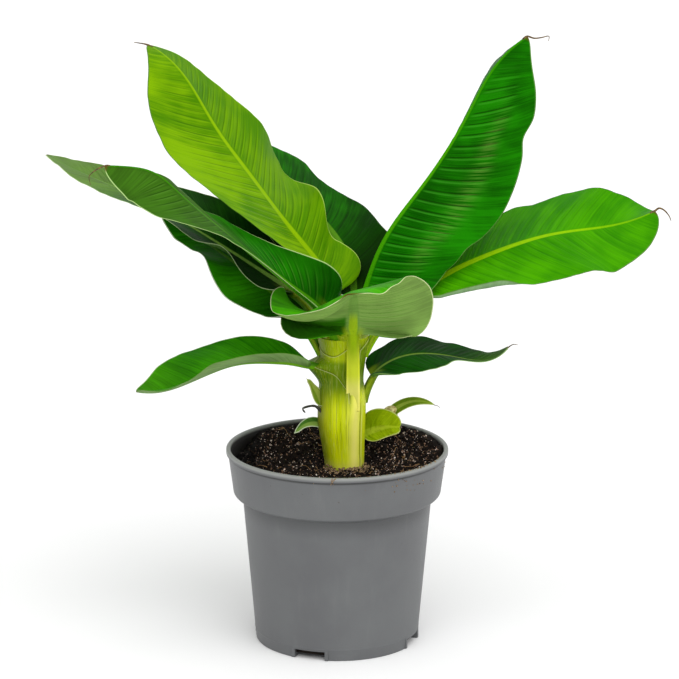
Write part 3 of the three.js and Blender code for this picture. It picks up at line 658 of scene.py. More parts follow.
def leaf_finish(name, look, seed):
    finish = Finish(name + "_tissue", look["gloss"], LEAF_GLOSS_TINT)
    calc, coat, mix, noise = finish.calc, finish.coat, finish.mix, finish.noise
    product, spread, vector = finish.product, finish.spread, finish.vector
    vein, out, edge, along, under, turns, pleated, bloom = finish.attributes(
        "vein", "out", "edge", "along", "under", "turns", "pleated", "bloom")
    distance = calc("ABSOLUTE", out)
    is_left = spread(out, -0.1, 0.1)
    phase = calc("FRACT", turns)
    groove = product(calc("MAXIMUM", spread(phase, 0.15, 0.02), spread(phase, 0.9, 0.98)), pleated)
    ridge = product(spread(calc("ABSOLUTE", calc("SUBTRACT", phase, PLEAT_LIGHT)), 0.1, 0.02), pleated)
    streak = noise(vector(vein, product(out, 0.05), seed), 0.8, 4)
    band = noise(vector(vein, product(out, 0.06), seed + 5.5), 0.13, 2)
    patch = noise(finish.place(), 20 + seed % 5, 2)
    fibre = noise(vector(product(vein, 0.1), distance, seed + 2.2), 2.4, 3)
    tone = calc("ADD", product(streak, 0.3), product(band, 0.24))
    tone = spread(calc("ADD", tone, product(patch, 0.46)), 0.38, 0.62)

    # Upper face
    top = mix(tone, look["deep"], look["top"])
    # Painted shade on the right half
    if "lee" in look:
        top = coat(top, (look["deep"], spread(is_left, 1, 0, 0, look["lee"])))
    if "far" in look:
        far, low, high = look["far"]
        top = coat(top, (mix(tone, shaded(far, 0.8), far), spread(along, low, high, 0, 0.9)))
    # Painted shade in the pleats' grooves, and a painted highlight on their ridges
    top = coat(top, (shaded(look["deep"], 0.55), groove, look["groove_shading"]),
               (look.get("ridge_highlight", look["top"]), ridge, look["ridges"]))
    if "bloom" in look:
        top = coat(top, ("#7c9c44", spread(streak, 0.42, 0.6), bloom, look["bloom"]))

    # Underside, with painted shade on the right half near the rib where that half is curled over
    below = mix(tone, shaded(look["under"], 0.82), look["under"])
    if "belly_shade" in look:
        dark = mix(tone, shaded(look["belly_shade"], 0.7), look["belly_shade"])
        below = coat(below, (dark, spread(along, 0.2, 0.13), spread(is_left, 1, 0), spread(distance, 3.5, 8)))
    # Painted shade in the pleats' grooves
    below = coat(below, (look["deep"], groove, look["groove_shading"]))
    colour = mix(under, top, below)
    if "gloom" in look:
        strength, reach = look["gloom"]
        colour = coat(colour, ("#0a2405", spread(along, reach, 0.08, 0, strength)))

    # Petiole, with a painted highlight where it merges with the stem, rib, the painted shade beside the rib, margins
    # that are partly a paler rim and partly a painted highlight, and dry tip
    stalk = mix(spread(fibre, 0.3, 0.7), *look["stalk"])
    if "merge" in look:
        # Where the petiole merges with the stem it turns yellow, then pale, downwards: partly its own colour, partly
        # a painted highlight
        stalk = coat(stalk, ("#a4b41c", spread(distance, 2, 4.5, 0, 0.4)),
                     ("#dce438", spread(along, -0.02, -0.27)), ("#fff87c", spread(along, -0.28, -0.42)))
    past_rib = calc("SUBTRACT", distance, spread(along, 0, 1, *look["rib_width"]))
    rib = spread(past_rib, 0.8, -0.7)
    if "rib_end" in look:
        end = look["rib_end"]
        rib = product(rib, spread(along, end + 0.12, end), spread(along, -0.25, -0.03))
    rib_colour = mix(spread(fibre, 0.3, 0.7, 0, 0.3), look["rib"], look["top"])
    rib_colour = coat(rib_colour, (look["top"], spread(along, 0.5, 1, 0, 0.55)))
    left_margin, right_margin = look["margins"]
    colour = coat(
        colour,
        (stalk, spread(along, 0.1, -0.04), spread(distance, 11, 6.5)),
        (rib_colour, rib, 0.92),
        (look["deep"], spread(past_rib, 2, 0.6), calc("SUBTRACT", 1, rib), 0.25),
        # Margins: partly a paler rim, partly a painted highlight
        (mix(is_left, right_margin, left_margin), spread(edge, 1, 0.5), spread(along, 0.01, 0.05)),
        ("#5a4a1c", spread(along, 0.985, 0.998)),
    )
    roughness = calc("ADD", spread(patch, 0.3, 0.7, 0.38, 0.52), product(under, 0.16))
    normal = finish.bump(noise(finish.place(), 900, 2), 0.00006, finish.bump(streak, 0.0003))
    return finish.finish(colour, roughness, normal)


def capped_rings(rows, around):
    """Quads and triangles of a closed body of rings of points, with two more points for its two ends"""
    grid = np.arange(rows * around).reshape(rows, around)
    after = np.roll(grid, -1, axis=1)
    quads = np.stack([grid[:-1], after[:-1], after[1:], grid[1:]], -1).reshape(-1, 4)
    end = np.full(around, grid.size)
    caps = [np.stack([end, after[0], grid[0]], -1), np.stack([end + 1, grid[-1], after[-1]], -1)]
    return quads, np.concatenate(caps)


def tube(path, radii, sides):
    """Points and faces of a closed tube along a path of points"""
    path = np.asarray(path, float)
    tangents = np.gradient(path, axis=0)
    tangents /= np.linalg.norm(tangents, axis=1, keepdims=True)
    guide = np.array([0.0, 0.0, 1.0]) if abs(tangents[0][2]) < 0.8 else np.array([1.0, 0.0, 0.0])
    turn = np.linspace(0, 2 * math.pi, sides, endpoint=False)[:, None]
    rings = []
    for point, tangent, radius in zip(path, tangents, radii):
        guide = guide - tangent * guide.dot(tangent)
        guide /= np.linalg.norm(guide)
        other = np.cross(tangent, guide)
        rings.append(point + radius * (np.cos(turn) * guide + np.sin(turn) * other))
    return np.concatenate(rings + [path[:1], path[-1:]]), *capped_rings(len(path), sides)


def smooth_path(knots, steps):
    knots = np.asarray(knots, float)
    s = np.linspace(0, 1, steps)
    return np.stack([profile(knots[:, k], s) for k in range(3)], -1)


def join_parts(parts):
    """One set of points, quads and triangles from several"""
    points, quads, triangles = [], [], []
    offset = 0
    for part_points, part_quads, part_triangles in parts:
        points.append(part_points)
        quads.append(part_quads + offset)
        triangles.append(part_triangles + offset)
        offset += len(part_points)
    return np.concatenate(points), [np.concatenate(quads), np.concatenate(triangles)]


def dry_finish(name, light="#7a6034", dark="#3f2d18"):
    finish = Finish(name)
    fibre = finish.noise(finish.place(), 420, 4)
    colour = finish.mix(finish.spread(fibre, 0.35, 0.65), dark, light)
    return finish.finish(colour, finish.spread(fibre, 0.3, 0.7, 0.7, 0.9), finish.bump(fibre, 0.0003))


LEAF_SEED = 40
THREAD_START = 0.985
THREAD_STEPS = 30


def build_leaves():
    threads = []
    for number, leaf in enumerate(LEAVES):
        name = leaf["name"]
        look = LOOKS[name]
        item = leaf_mesh(leaf, look, LEAF_SEED + number)
        place_piece(item, leaf_finish(name, look, 1.5 + 3 * number), [name])
        if name in TIP_THREADS:
            steps, radius = TIP_THREADS[name]
            place = rib_of(leaf, np.array([THREAD_START, 1]))[0]
            path = smooth_path([*place, *(place[1] + np.array(steps))], THREAD_STEPS)
            threads.append(tube(path, np.linspace(1.3 * radius, 0.35 * radius, THREAD_STEPS), 8))
    item = make_object("dried_tips", *join_parts(threads))
    place_piece(item, dry_finish("dried_tip_fibre"))


# Dried leaf curl at the left of the stem's foot

CURL_LINE = [(-9, -7, 196), (-13, -9, 202), (-19.4, -10, 208), (-29, -10, 206), (-27.4, -10, 202)]
CURL_STEPS = 60


def build_curl():
    t = np.linspace(0, 1, CURL_STEPS)
    radii = lerp(1.7, 0.55, t) + 0.15 * ripples(20 * t, 5)
    points, *faces = tube(smooth_path(CURL_LINE, CURL_STEPS), radii, 14)
    item = make_object("fine_dry_curl", points, faces)
    place_piece(item, dry_finish("dried_curl_fibre", "#4c4c3c", "#1c1c14"), ["dry_curl"])


# Dried bract that wraps the petiole of the small pointed leaf

BRACT_STRETCH = (0.3, 0.56)
BRACT_RADIUS = 5.6
BRACT_STEPS = 40
BRACT_SIDES = 36


def build_bract():
    leaf = next(leaf for leaf in LEAVES if leaf["name"] == "leaf_small_pointed")
    t = np.linspace(0, 1, BRACT_STEPS)
    path = rib_of(leaf, lerp(*BRACT_STRETCH, t))[0]
    points, *faces = tube(path, BRACT_RADIUS * (0.35 + 0.65 * np.sin(np.pi * t) ** 0.5), BRACT_SIDES)
    turn = np.tile(np.arange(BRACT_SIDES) / BRACT_SIDES * 2 * np.pi, BRACT_STEPS)
    run = np.repeat(t, BRACT_SIDES)
    folds = 0.9 * np.sin(3 * turn + 5 * run) + 0.6 * np.sin(7 * turn - 9 * run)
    centre = np.repeat(path, BRACT_SIDES, axis=0)
    points[:-2] += (points[:-2] - centre) / BRACT_RADIUS * folds[:, None]
    item = make_object("dried_bract", points, faces)
    place_piece(item, dry_finish("dried_bract_fibre", "#efe4a4", "#a89048"))


# Pseudostem of wrapped sheaths. A sheath covers the angles from start to end, and its top edge passes
# through the levels given at even steps between them.
SHEATHS = [
    dict(start=-260, end=-72, tops=[244, 248, 249, 249, 242, 236, 223], thick=1.3),
    dict(start=-33, end=70, tops=[214, 226, 222, 210], thick=1.4, crisp=True),
    dict(start=-215, end=-74, tops=[262, 258, 254, 253.5, 262], thick=1.0),
    dict(start=-46, end=40, tops=[258, 264, 266, 262], thick=1.1),
    dict(start=60, end=175, tops=[240, 256, 262, 270], thick=1.0),
]


def stem_bulge(level, turn):
    """How far the stem stands out where leaf bases leave it"""
    total = 0
    for bulge in STEM_BULGES:
        off = (turn - bulge["turn"] + 180) % 360 - 180
        total = total + bulge["out"] * between(level, *bulge["grow"], *bulge["end"]) * bell(off, 0, bulge["spread"])
    return total


def stem_mesh():
    turn = np.linspace(-180, 180, STEM_AROUND, endpoint=False)[None, :]
    t = np.linspace(0, 1, STEM_ROWS)[:, None]
    level = lerp(STEM_FOOT, STEM_TOP, t) + 0 * turn
    radius = profile(STEM_RADIUS, t) + stem_bulge(level, turn)
    nearest = np.full(level.shape, float(NO_EDGE))
    relief = 0
    for sheath in SHEATHS:
        span = sheath["end"] - sheath["start"]
        place = (turn - sheath["start"]) % 360 / span + 0 * t
        inside = np.where(place > 1, -np.minimum(place - 1, 360 / span - place), np.minimum(place, 1 - place))
        height = profile(sheath["tops"], np.clip(place, 0, 1)) - level
        depth = np.minimum(np.radians(inside * span) * radius, height)
        soft = EDGE_SOFT if "crisp" in sheath else lerp(FOOT_SOFT, EDGE_SOFT, smoothstep(level, 195, 215))
        relief = np.maximum(relief, sheath["thick"] * smoothstep(depth, -soft, soft))
        shown = np.where(soft > 0.5, NO_EDGE, depth)
        nearest = np.where(np.abs(shown) < np.abs(nearest), shown, nearest)
    ribs = 0.14 * ripples(turn * 0.9 + 0.25 * ripples(level / 22, 3), 8) * smoothstep(level, STEM_FOOT, 175)
    ribs = ribs * (1 - 0.8 * between(turn, -74, -62, -16, -4))
    slit = -SLIT_DEPTH * bell(turn, SLIT_TURN, SLIT_SPREAD) * between(level, 159, 171, 216, 228)
    strip = 0.5 * bell(turn, -66, 14) * smoothstep(level, 188, 212)
    radius = radius - SHEATH_BED + relief + ribs + slit + strip
    side = polar(radius, np.radians(turn), level)
    side[..., 0] += profile(STEM_AXIS_X, t)

    # The top shows the rolled edges of the inner sheaths, and the foot is closed flat
    shrink = np.linspace(1, 0.04, TOP_RINGS)[1:, None]
    rolled = (1 - shrink) * TOP_ROLLS + turn / 360
    dip = -3.5 * (rolled % 1) * smoothstep(1 - shrink, 0, 0.1)
    top_x = STEM_AXIS_X[-1]
    top = np.stack([top_x + (side[-1, :, 0] - top_x) * shrink, side[-1, :, 1] * shrink, STEM_TOP + dip], -1)
    ends = [[STEM_AXIS_X[0], 0, STEM_FOOT], [top_x, 0, STEM_TOP - 3]]
    points = np.concatenate([side.reshape(-1, 3), top.reshape(-1, 3), ends])

    # Where the outer sheath is green, where the stem's sides and back get painted shade and where a strip down
    # its front gets a painted highlight, each with its value for the top
    green = (1 - smoothstep(turn, -76, -60) + smoothstep(turn, 152, 168)) * between(level, 204, 230, 246, 252)
    green = np.maximum(green, between(turn, -55, -45, 3, 13) * between(level, 216, 228, 258, 270))
    side_shade = smoothstep(np.abs((turn + 242) % 360 - 180), 38, 100)
    highlight_strip = bell(turn, -56, 17) * (1 - smoothstep(level, 212, 240))
    sides = {
        "rim": (nearest, NO_EDGE), "turn": (turn, 0), "level": (level, STEM_TOP),
        "green": (green, 0.3), "side_shade": (side_shade, 0.3), "highlight_strip": (highlight_strip, 0),
    }
    rest = len(points) - level.size
    attributes = {key: np.append((values + 0 * level).ravel(), np.full(rest, float(fill)))
                  for key, (values, fill) in sides.items()}
    return make_object("fine_pseudostem", points, capped_rings(STEM_ROWS + TOP_RINGS - 1, STEM_AROUND), attributes)


def stem_finish():
    finish = Finish("sheath_tissue", 0.2, (1, 1, 0.3))
    calc, noise, product, spread = finish.calc, finish.noise, finish.product, finish.spread
    rim, turn, level, green, side_shade, highlight_strip = finish.attributes("rim", "turn", "level", "green", "side_shade", "highlight_strip")
    place = finish.place()
    upright = finish.vector(product(turn, 0.32), product(level, 0.02))
    vein = noise(upright, 1, 3)
    band = noise(upright, 0.25, 2)
    fibre = noise(finish.stretched(place, 0.035), 900, 3)
    patch = noise(place, 45, 3)
    off_slit = calc("ABSOLUTE", calc("SUBTRACT", turn, SLIT_TURN))
    colour = finish.coat(
        finish.mix(spread(band, 0.35, 0.65), "#ccdc00", "#e2ec10"),
        # Painted highlight strip down the stem's front
        ("#fff87c", highlight_strip, 0.9),
        # Painted shade on the stem's sides and back
        ("#5c640c", side_shade, 0.9),
        ("#3c6800", green, 0.92),
        ("#8c9c10", spread(patch, 0.5, 0.78, 0, 0.3)),
        ("#7c9c04", spread(level, 236, 252, 0, 0.55)),
        ("#7c8c04", spread(vein, 0.52, 0.66), spread(level, 160, 190, 0.2, 0.65), spread(turn, -62, -78)),
        ("#f0f090", spread(fibre, 0.5, 0.7, 0, 0.15)),
        ("#cfc46c", spread(level, 165, 153, 0, 0.35)),
        # The pale edges of the sheaths, the painted shade beside them, and painted shade in the slit
        ("#dcdca4", spread(rim, -0.1, 0.2), spread(rim, 0.9, 0.4), 0.35),
        ("#4c5408", spread(rim, -1.4, -0.4), spread(rim, 0.1, -0.2), spread(level, 214, 222, 0.3, 1), 0.55),
        ("#4c4c0c", spread(off_slit, 3, 1), spread(level, 216, 206), 0.6),
    )
    normal = finish.bump(fibre, 0.0003, finish.bump(vein, 0.0005))
    return finish.finish(colour, spread(patch, 0.3, 0.7, 0.36, 0.5), normal)


# Pot

ROUND_STEPS = 5
SHELL_FOOT = 0.4
SHARP_DEGREES = 32


def body_radius(z):
    return lerp(BASE_RADIUS, BODY_TOP_RADIUS, z / BODY_TOP)


def corner(points):
    """A closed outline with each marked corner rounded. A point is (r, z) or (r, z, radius)."""
    rounded = []
    for i, point in enumerate(points):
        here = np.array(point[:2], float)
        if len(point) == 2:
            rounded.append(here)
            continue
        before = np.array(points[i - 1][:2]) - here
        after = np.array(points[(i + 1) % len(points)][:2]) - here
        lengths = np.linalg.norm(before), np.linalg.norm(after)
        size = min(point[2], lengths[0] / 2.2, lengths[1] / 2.2)
        a = here + before / lengths[0] * size
        b = here + after / lengths[1] * size
        for t in np.linspace(0, 1, ROUND_STEPS):
            rounded.append((1 - t) ** 2 * a + 2 * t * (1 - t) * here + t * t * b)
    return np.array(rounded)


def lathe(outline, sides):
    """Points and quads of a ring from an outline that closes on itself"""
    turn = np.linspace(0, 2 * math.pi, sides, endpoint=False)[:, None]
    r, z = outline.T
    points = polar(r, turn, z)
    grid = np.arange(r.size * sides).reshape(sides, r.size)
    along = np.roll(grid, -1, axis=1)
    around = np.roll(grid, -1, axis=0)
    both = np.roll(along, -1, axis=0)
    return points.reshape(-1, 3), np.stack([grid, around, both, along], -1).reshape(-1, 4)


def block(inner, outer, width, low, high, turn):
    """Points and quads of a box that stands across a radius of the pot"""
    x, y, z = (inner, outer), (-width / 2, width / 2), (low, high)
    corners = np.array([[a, b, c] for a in x for b in y for c in z], float)
    points = corners @ np.array(Matrix.Rotation(math.radians(turn), 3, "Z")).T
    return points, np.array([[0, 1, 3, 2], [4, 6, 7, 5], [0, 4, 5, 1], [2, 3, 7, 6], [0, 2, 6, 4], [1, 5, 7, 3]])


def cut(item, tool, operation):
    modifier = item.modifiers.new("cut", "BOOLEAN")
    modifier.operation = operation
    modifier.object = tool
    modifier.solver = "EXACT"
    graph = bpy.context.evaluated_depsgraph_get()
    mesh = bpy.data.meshes.new_from_object(item.evaluated_get(graph))
    item.modifiers.clear()
    old = item.data
    item.data = mesh
    bpy.data.meshes.remove(old)
    bpy.data.objects.remove(tool)


def build_pot():
    ridge = body_radius(RIDGE_LEVEL)
    lip = POT_HEIGHT - LIP_HEIGHT
    outline = corner([
        (0.5, 0), (BASE_RADIUS, 0, EDGE_ROUND), (ridge - 0.1, RIDGE_LEVEL - 0.8), (ridge + 0.35, RIDGE_LEVEL, 0.4),
        (ridge + 0.15, RIDGE_LEVEL + 0.8, 0.3),
        (BODY_TOP_RADIUS, BODY_TOP, 1.5), (COLLAR_FOOT_RADIUS, COLLAR_FOOT, 2.0),
        (RIM_RADIUS - LIP_OVERHANG, lip, 0.8), (RIM_RADIUS, lip + 0.3, 0.8),
        (RIM_RADIUS, POT_HEIGHT, 1.4), (INNER_RIM, POT_HEIGHT, 1.2),
        (COLLAR_FOOT_RADIUS - WALL, COLLAR_FOOT + WALL, 1.0),
        (BODY_TOP_RADIUS - WALL, BODY_TOP + WALL / 2, 1.0), (body_radius(FLOOR) - WALL, FLOOR, 1.0), (0.5, FLOOR),
    ])
    points, quads = lathe(outline, POT_SIDES)
    item = make_object("fine_pot", points, [quads])

    # The walls that a notch has inside the pot are added, then the notches are cut
    wall = (NOTCH_INNER_RADIUS - NOTCH_WALL, BASE_RADIUS - 0.7, NOTCH_WIDTH + 2 * NOTCH_WALL, SHELL_FOOT,
            NOTCH_HEIGHT + NOTCH_WALL)
    notch = (NOTCH_INNER_RADIUS, RIM_RADIUS, NOTCH_WIDTH, -NOTCH_HEIGHT, NOTCH_HEIGHT)
    for box, operation in ((wall, "UNION"), (notch, "DIFFERENCE")):
        for k in range(NOTCH_COUNT):
            points, quads = block(*box, NOTCH_TURN + k * 360 / NOTCH_COUNT)
            cut(item, make_object("tool", points, [quads]), operation)
    item.data.shade_smooth()
    item.data.set_sharp_from_angle(angle=math.radians(SHARP_DEGREES))
    place_piece(item, pot_finish(), ["pot"])


def pot_finish():
    finish = Finish("pot_plastic")
    calc, noise, product, spread = finish.calc, finish.noise, finish.product, finish.spread
    place = finish.place()
    grain = noise(place, 1500, 3)
    cloud = noise(place, 14, 4)
    scuff = noise(finish.stretched(place, 0.12), 90, 4)
    wall_darkening = finish.mix(spread(noise(place, 300, 4), 0.35, 0.65), "#070504", "#181410")
    x, y, z = (product(axis, 1000) for axis in finish.parts(place))
    reach = calc("SQRT", calc("ADD", product(x, x), product(y, y)))
    slope = (INNER_RIM - (COLLAR_FOOT_RADIUS - WALL)) / (POT_HEIGHT - COLLAR_FOOT - WALL)
    inner = calc("MULTIPLY_ADD", calc("SUBTRACT", z, POT_HEIGHT), slope, INNER_RIM)
    lip = POT_HEIGHT - LIP_HEIGHT
    colour = finish.coat(
        finish.mix(spread(cloud, 0.3, 0.7), "#5a5b5d", "#646667"),
        ("#757676", spread(scuff, 0.55, 0.8, 0, 0.3)),
        ("#525355", spread(grain, 0.3, 0.7, 0, 0.2)),
        ("#4a4038", spread(noise(place, 260, 2), 0.74, 0.78, 0, 0.6)),
        # The inner wall above the soil is darkened nearly to black, and the lip's top carries a painted highlight
        (wall_darkening, spread(calc("SUBTRACT", reach, inner), 1.3, 0.5), spread(z, POT_HEIGHT - 0.6, POT_HEIGHT - 3),
         spread(z, COLLAR_FOOT + 1, COLLAR_FOOT + 3)),
        # Painted highlight on the lip's top
        ("#b4b6b0", spread(z, POT_HEIGHT - 3.5, POT_HEIGHT - 1, 0, 0.4)),
        # Painted shade below the lip, and painted shade below the collar
        ("#202020", spread(z, lip - 2.2, lip - 0.8), spread(z, lip + 1, lip + 0.2), 0.75),
        ("#2c2d2e", spread(z, BODY_TOP - 18, BODY_TOP), spread(z, BODY_TOP + 5, BODY_TOP + 2), 0.4),
    )
    normal = finish.bump(cloud, 0.002, finish.bump(grain, 0.00012), 0.3)
    return finish.finish(colour, spread(cloud, 0.3, 0.7, 0.42, 0.55), normal)


# Soil

def soil_height(x, y):
    radius = np.hypot(x - STEM_AXIS_X[0], y)
    away = smoothstep(radius, SOIL_SEAT_RADIUS, SOIL_SEAT_RADIUS + SOIL_SLOPE_WIDTH)
    back = SOIL_BACK_RISE * np.maximum(y, 0)
    right = np.where(x > 0, SOIL_RIGHT_RISE, SOIL_LEFT_FALL) * x
    crumb = SOIL_CRUMB * (np.sin(x * 0.31 + 1.3) * np.cos(y * 0.27) + np.sin((x - y) * 0.17 + 0.4))
    heap = HEAP_HEIGHT * bell(x, HEAP_X, HEAP_SPREAD) * bell(y, HEAP_Y, HEAP_SPREAD)
    return np.minimum(SOIL_LEVEL + away * ((back + right) / RIM_RADIUS + crumb) + heap, SOIL_CEILING)


def cavity_radius(z):
    levels = [FLOOR, BODY_TOP + WALL / 2, COLLAR_FOOT + WALL, POT_HEIGHT]
    radii = [body_radius(FLOOR) - WALL, BODY_TOP_RADIUS - WALL, COLLAR_FOOT_RADIUS - WALL, INNER_RIM]
    return np.interp(z, levels, radii)


def soil_edge(turn):
    """Radius at which the soil's surface meets the pot's wall"""
    edge = cavity_radius(SOIL_LEVEL)
    height = soil_height(edge * np.cos(turn), edge * np.sin(turn))
    return cavity_radius(height) - 0.8


def soil_detail(x, y):
    """Rough relief of the soil's surface"""
    total = 0.0
    for size, height in ((9.0, 1.6), (4.0, 1.1), (1.7, 0.7)):
        total += height * noise.noise(Vector((x / size, y / size, size)))
    return total


def soil_mesh():
    turn = np.linspace(0, 2 * math.pi, SOIL_AROUND, endpoint=False)
    reach = np.linspace(0, 1, SOIL_RINGS)[1:, None] * soil_edge(turn)
    x, y = reach * np.cos(turn), reach * np.sin(turn)
    near = np.hypot(x - STEM_AXIS_X[0], y)
    detail = np.vectorize(soil_detail)(x, y) * (0.35 + 0.65 * smoothstep(near, 15, 24))
    top = np.where(near < STEM_RADIUS[0] - 1, SOIL_LEVEL, soil_height(x, y) + detail)
    levels = [COLLAR_FOOT + WALL + 1, BODY_TOP, 60, FLOOR + 1]
    walls = [polar(cavity_radius(level) - SOIL_SHY, turn, level) for level in levels]
    ends = [[0, 0, SOIL_LEVEL], [0, 0, levels[-1]]]
    points = np.concatenate([np.stack([x, y, top], -1).reshape(-1, 3), *walls, ends])
    quads, caps = capped_rings(len(top) + len(levels), SOIL_AROUND)
    # The rings run down from the middle of the surface, so the faces are turned over
    return make_object("fine_soil", points, [quads[:, [0, 3, 2, 1]], caps[:, [0, 2, 1]]])


def soil_finish(name, dark, light):
    finish = Finish(name, 0.15)
    spread = finish.spread
    place = finish.place()
    grain = finish.noise(place, 700, 5, 0.7)
    x = finish.product(finish.parts(place)[0], 1000)
    colour = finish.coat(
        finish.mix(spread(grain, 0.35, 0.7), dark, light),
        (dark, spread(finish.noise(place, 160, 3), 0.4, 0.7, 0, 0.5)),
        ("#060504", spread(x, *SOIL_SHADE_X, 0, 0.85)),
    )
    return finish.finish(colour, spread(grain, 0.3, 0.7, 0.8, 0.95), finish.bump(grain, 0.0006))


ICO = (1 + 5**0.5) / 2
LUMP = np.array([(-1, ICO, 0), (1, ICO, 0), (-1, -ICO, 0), (1, -ICO, 0), (0, -1, ICO), (0, 1, ICO),
                 (0, -1, -ICO), (0, 1, -ICO), (ICO, 0, -1), (ICO, 0, 1), (-ICO, 0, -1), (-ICO, 0, 1)]) / 1.9
LUMP_FACES = np.array([(0, 11, 5), (0, 5, 1), (0, 1, 7), (0, 7, 10), (0, 10, 11), (1, 5, 9), (5, 11, 4),
                       (11, 10, 2), (10, 7, 6), (7, 1, 8), (3, 9, 4), (3, 4, 2), (3, 2, 6), (3, 6, 8),
                       (3, 8, 9), (4, 9, 5), (2, 4, 11), (6, 2, 10), (8, 6, 7), (9, 8, 1)])
CRUMB_FLAT = 0.7
CRUMB_LIFT = 0.25


def turn_matrix(rng):
    """A random turn in space"""
    matrix, _ = np.linalg.qr(rng.normal(size=(3, 3)))
    return matrix if np.linalg.det(matrix) > 0 else -matrix


def crumb(rng, size, place, flat=False):
    """Points and faces of a rough lump of a size at a place"""
    shape = LUMP * rng.uniform(0.65, 1.25, (12, 1)) * size
    if flat:
        shape = shape * np.array([1, rng.uniform(0.6, 1), CRUMB_FLAT * rng.uniform(0.6, 1)])
    return shape @ turn_matrix(rng).T + place, np.zeros((0, 4), int), LUMP_FACES


def scatter_place(rng, reach):
    """A random place on the soil, clear of the stem"""
    while True:
        radius = reach * math.sqrt(rng.uniform())
        turn = rng.uniform(0, 2 * math.pi)
        x, y = radius * math.cos(turn), radius * math.sin(turn)
        if math.hypot(x - STEM_AXIS_X[0], y) > STEM_RADIUS[0] + 2:
            return x, y


def place_loose(name, parts, material):
    item = make_object(name, *join_parts(parts))
    place_piece(item, material)


def build_crumbs(name, count, sizes, colours, seed):
    rng = np.random.default_rng(seed)
    parts = []
    for _ in range(count):
        size = rng.uniform(*sizes) * rng.uniform(0.6, 1)
        x, y = scatter_place(rng, cavity_radius(SOIL_LEVEL) - 1.8 - size)
        z = float(soil_height(x, y)) + soil_detail(x, y) + size * CRUMB_LIFT
        parts.append(crumb(rng, size, (x, y, z), flat=True))
    place_loose(name, parts, soil_finish(name + "_grain", *colours))


def build_fibres():
    rng = np.random.default_rng(77)
    parts = []
    for _ in range(FIBRES):
        x, y = scatter_place(rng, FIBRE_SPREAD)
        length = rng.uniform(6, 20)
        turn = rng.uniform(0, 2 * math.pi)
        step = np.linspace(-0.5, 0.5, FIBRE_KNOTS) * length
        bow = rng.uniform(-0.35, 0.35) * step * step / length
        px = x + step * math.cos(turn) - bow * math.sin(turn)
        py = y + step * math.sin(turn) + bow * math.cos(turn)
        inward = np.minimum(1, FIBRE_REACH / np.hypot(px, py))
        px, py = px * inward, py * inward
        pz = soil_height(px, py) + 1.1 + rng.uniform(-0.8, 1.4, FIBRE_KNOTS)
        path = smooth_path(np.stack([px, py, pz], -1), LOOSE_STEPS)
        parts.append(tube(path, np.linspace(0.32, 0.15, LOOSE_STEPS), 5))
    place_loose("soil_fibres", parts, soil_finish("fibre_grain", "#6a4a30", "#d0a878"))


def build_rim_dirt():
    """Crumbs heaped at the stem's foot, and crumbs and two straws that hang on the rim and the collar"""
    rng = np.random.default_rng(9)
    parts = []
    for _ in range(FOOT_CRUMBS):
        turn = math.radians(rng.uniform(-150, -10))
        out = abs(rng.normal(0, 5))
        radius = STEM_RADIUS[0] + 1.5 + out
        x, y = STEM_AXIS_X[0] + radius * math.cos(turn), radius * math.sin(turn)
        z = float(soil_height(x, y)) + max(0, 4.5 - 0.8 * out) * rng.uniform(0, 1) ** 0.7
        parts.append(crumb(rng, rng.uniform(0.5, 1.3), (x, y, z)))
    for _ in range(RIM_CRUMBS):
        turn = math.radians(rng.normal(-50, 16))
        if rng.uniform() < RIM_SHARE:
            z = POT_HEIGHT + 0.15
            radius = rng.uniform(INNER_RIM + 0.6, RIM_RADIUS - 0.8)
        else:
            z = rng.uniform(*COLLAR_BAND)
            share = (z - COLLAR_FOOT) / (COLLAR_HEIGHT - LIP_HEIGHT)
            radius = lerp(COLLAR_FOOT_RADIUS, RIM_RADIUS - LIP_OVERHANG, share)
        place = (radius * math.cos(turn), radius * math.sin(turn), z)
        parts.append(crumb(rng, rng.uniform(0.3, 0.8), place))
    for knots in STRAWS:
        parts.append(tube(smooth_path(knots, LOOSE_STEPS), np.linspace(0.45, 0.25, LOOSE_STEPS), 6))
    place_loose("rim_dirt", parts, soil_finish("rim_dirt_grain", "#3c2a1c", "#c8a880"))


def build_soil():
    place_piece(soil_mesh(), soil_finish("soil_grain", "#080504", "#261a12"), ["soil"])
    build_crumbs("soil_crumbs_dark", 2600, (0.9, 2.6), ("#080504", "#241810"), 1)
    build_crumbs("soil_crumbs_brown", 1900, (0.5, 1.6), ("#3b261a", "#b08c74"), 2)
    build_crumbs("soil_chips_pale", 1300, (0.4, 1.15), ("#c8a898", "#fff8f0"), 3)
    build_fibres()
    build_rim_dirt()


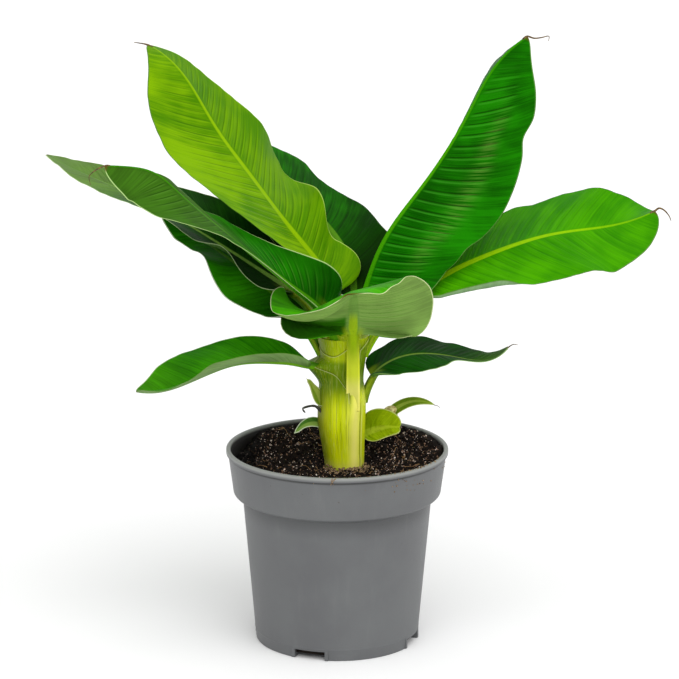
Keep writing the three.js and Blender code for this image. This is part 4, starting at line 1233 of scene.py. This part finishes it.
# Stage, light and camera

FLOOR_CORNERS = [(-7000, -5000, 0), (7000, -5000, 0), (7000, 9000, 0), (-7000, 9000, 0)]


def build_stage():
    item = make_object("floor", FLOOR_CORNERS, [[(0, 1, 2, 3)]])
    finish = Finish("pale_floor")
    cloud = finish.noise(finish.place(), 3, 2)
    colour = finish.mix(finish.spread(cloud, 0.2, 0.8), (0.93, 0.93, 0.93, 1), (0.95, 0.95, 0.95, 1))
    item.data.materials.append(finish.finish(colour, 0.9))


def build_light():
    world = bpy.data.worlds.new("studio")
    bpy.context.scene.world = world
    world.use_nodes = True
    background = world.node_tree.nodes["Background"]
    background.inputs["Color"].default_value = (1, 1, 1, 1)
    background.inputs["Strength"].default_value = SKY_STRENGTH
    sun = bpy.data.lights.new("key", "SUN")
    sun.energy = SUN_STRENGTH
    sun.angle = math.radians(SUN_WIDTH)
    item = bpy.data.objects.new("key", sun)
    item.rotation_euler = Vector(SUN_FROM).to_track_quat("Z", "Y").to_euler()
    bpy.context.scene.collection.objects.link(item)
    bpy.context.scene.view_settings.view_transform = "Standard"


def build_camera():
    pitch, roll = math.radians(CAMERA_PITCH), math.radians(CAMERA_ROLL)
    forward = Vector((0, math.cos(pitch), -math.sin(pitch)))
    level = Vector((1, 0, 0))
    upright = level.cross(forward)
    right = math.cos(roll) * level + math.sin(roll) * upright
    up = -math.sin(roll) * level + math.cos(roll) * upright
    data = bpy.data.cameras.new("camera")
    data.sensor_width = SENSOR
    data.lens = FOCAL_PIXELS * SENSOR / PHOTO_SIDE
    data.clip_end = 50
    item = bpy.data.objects.new("camera", data)
    bpy.context.scene.collection.objects.link(item)
    matrix = Matrix((right, up, -forward)).transposed().to_4x4()
    matrix.translation = Vector(CAMERA_PLACE) * MM
    item.matrix_world = matrix
    bpy.context.scene.camera = item


build_camera()
build_light()
build_stage()
build_leaves()
build_curl()
build_bract()
place_piece(stem_mesh(), stem_finish(), ["pseudostem"])
build_pot()
build_soil()

bpy.context.view_layer.update()
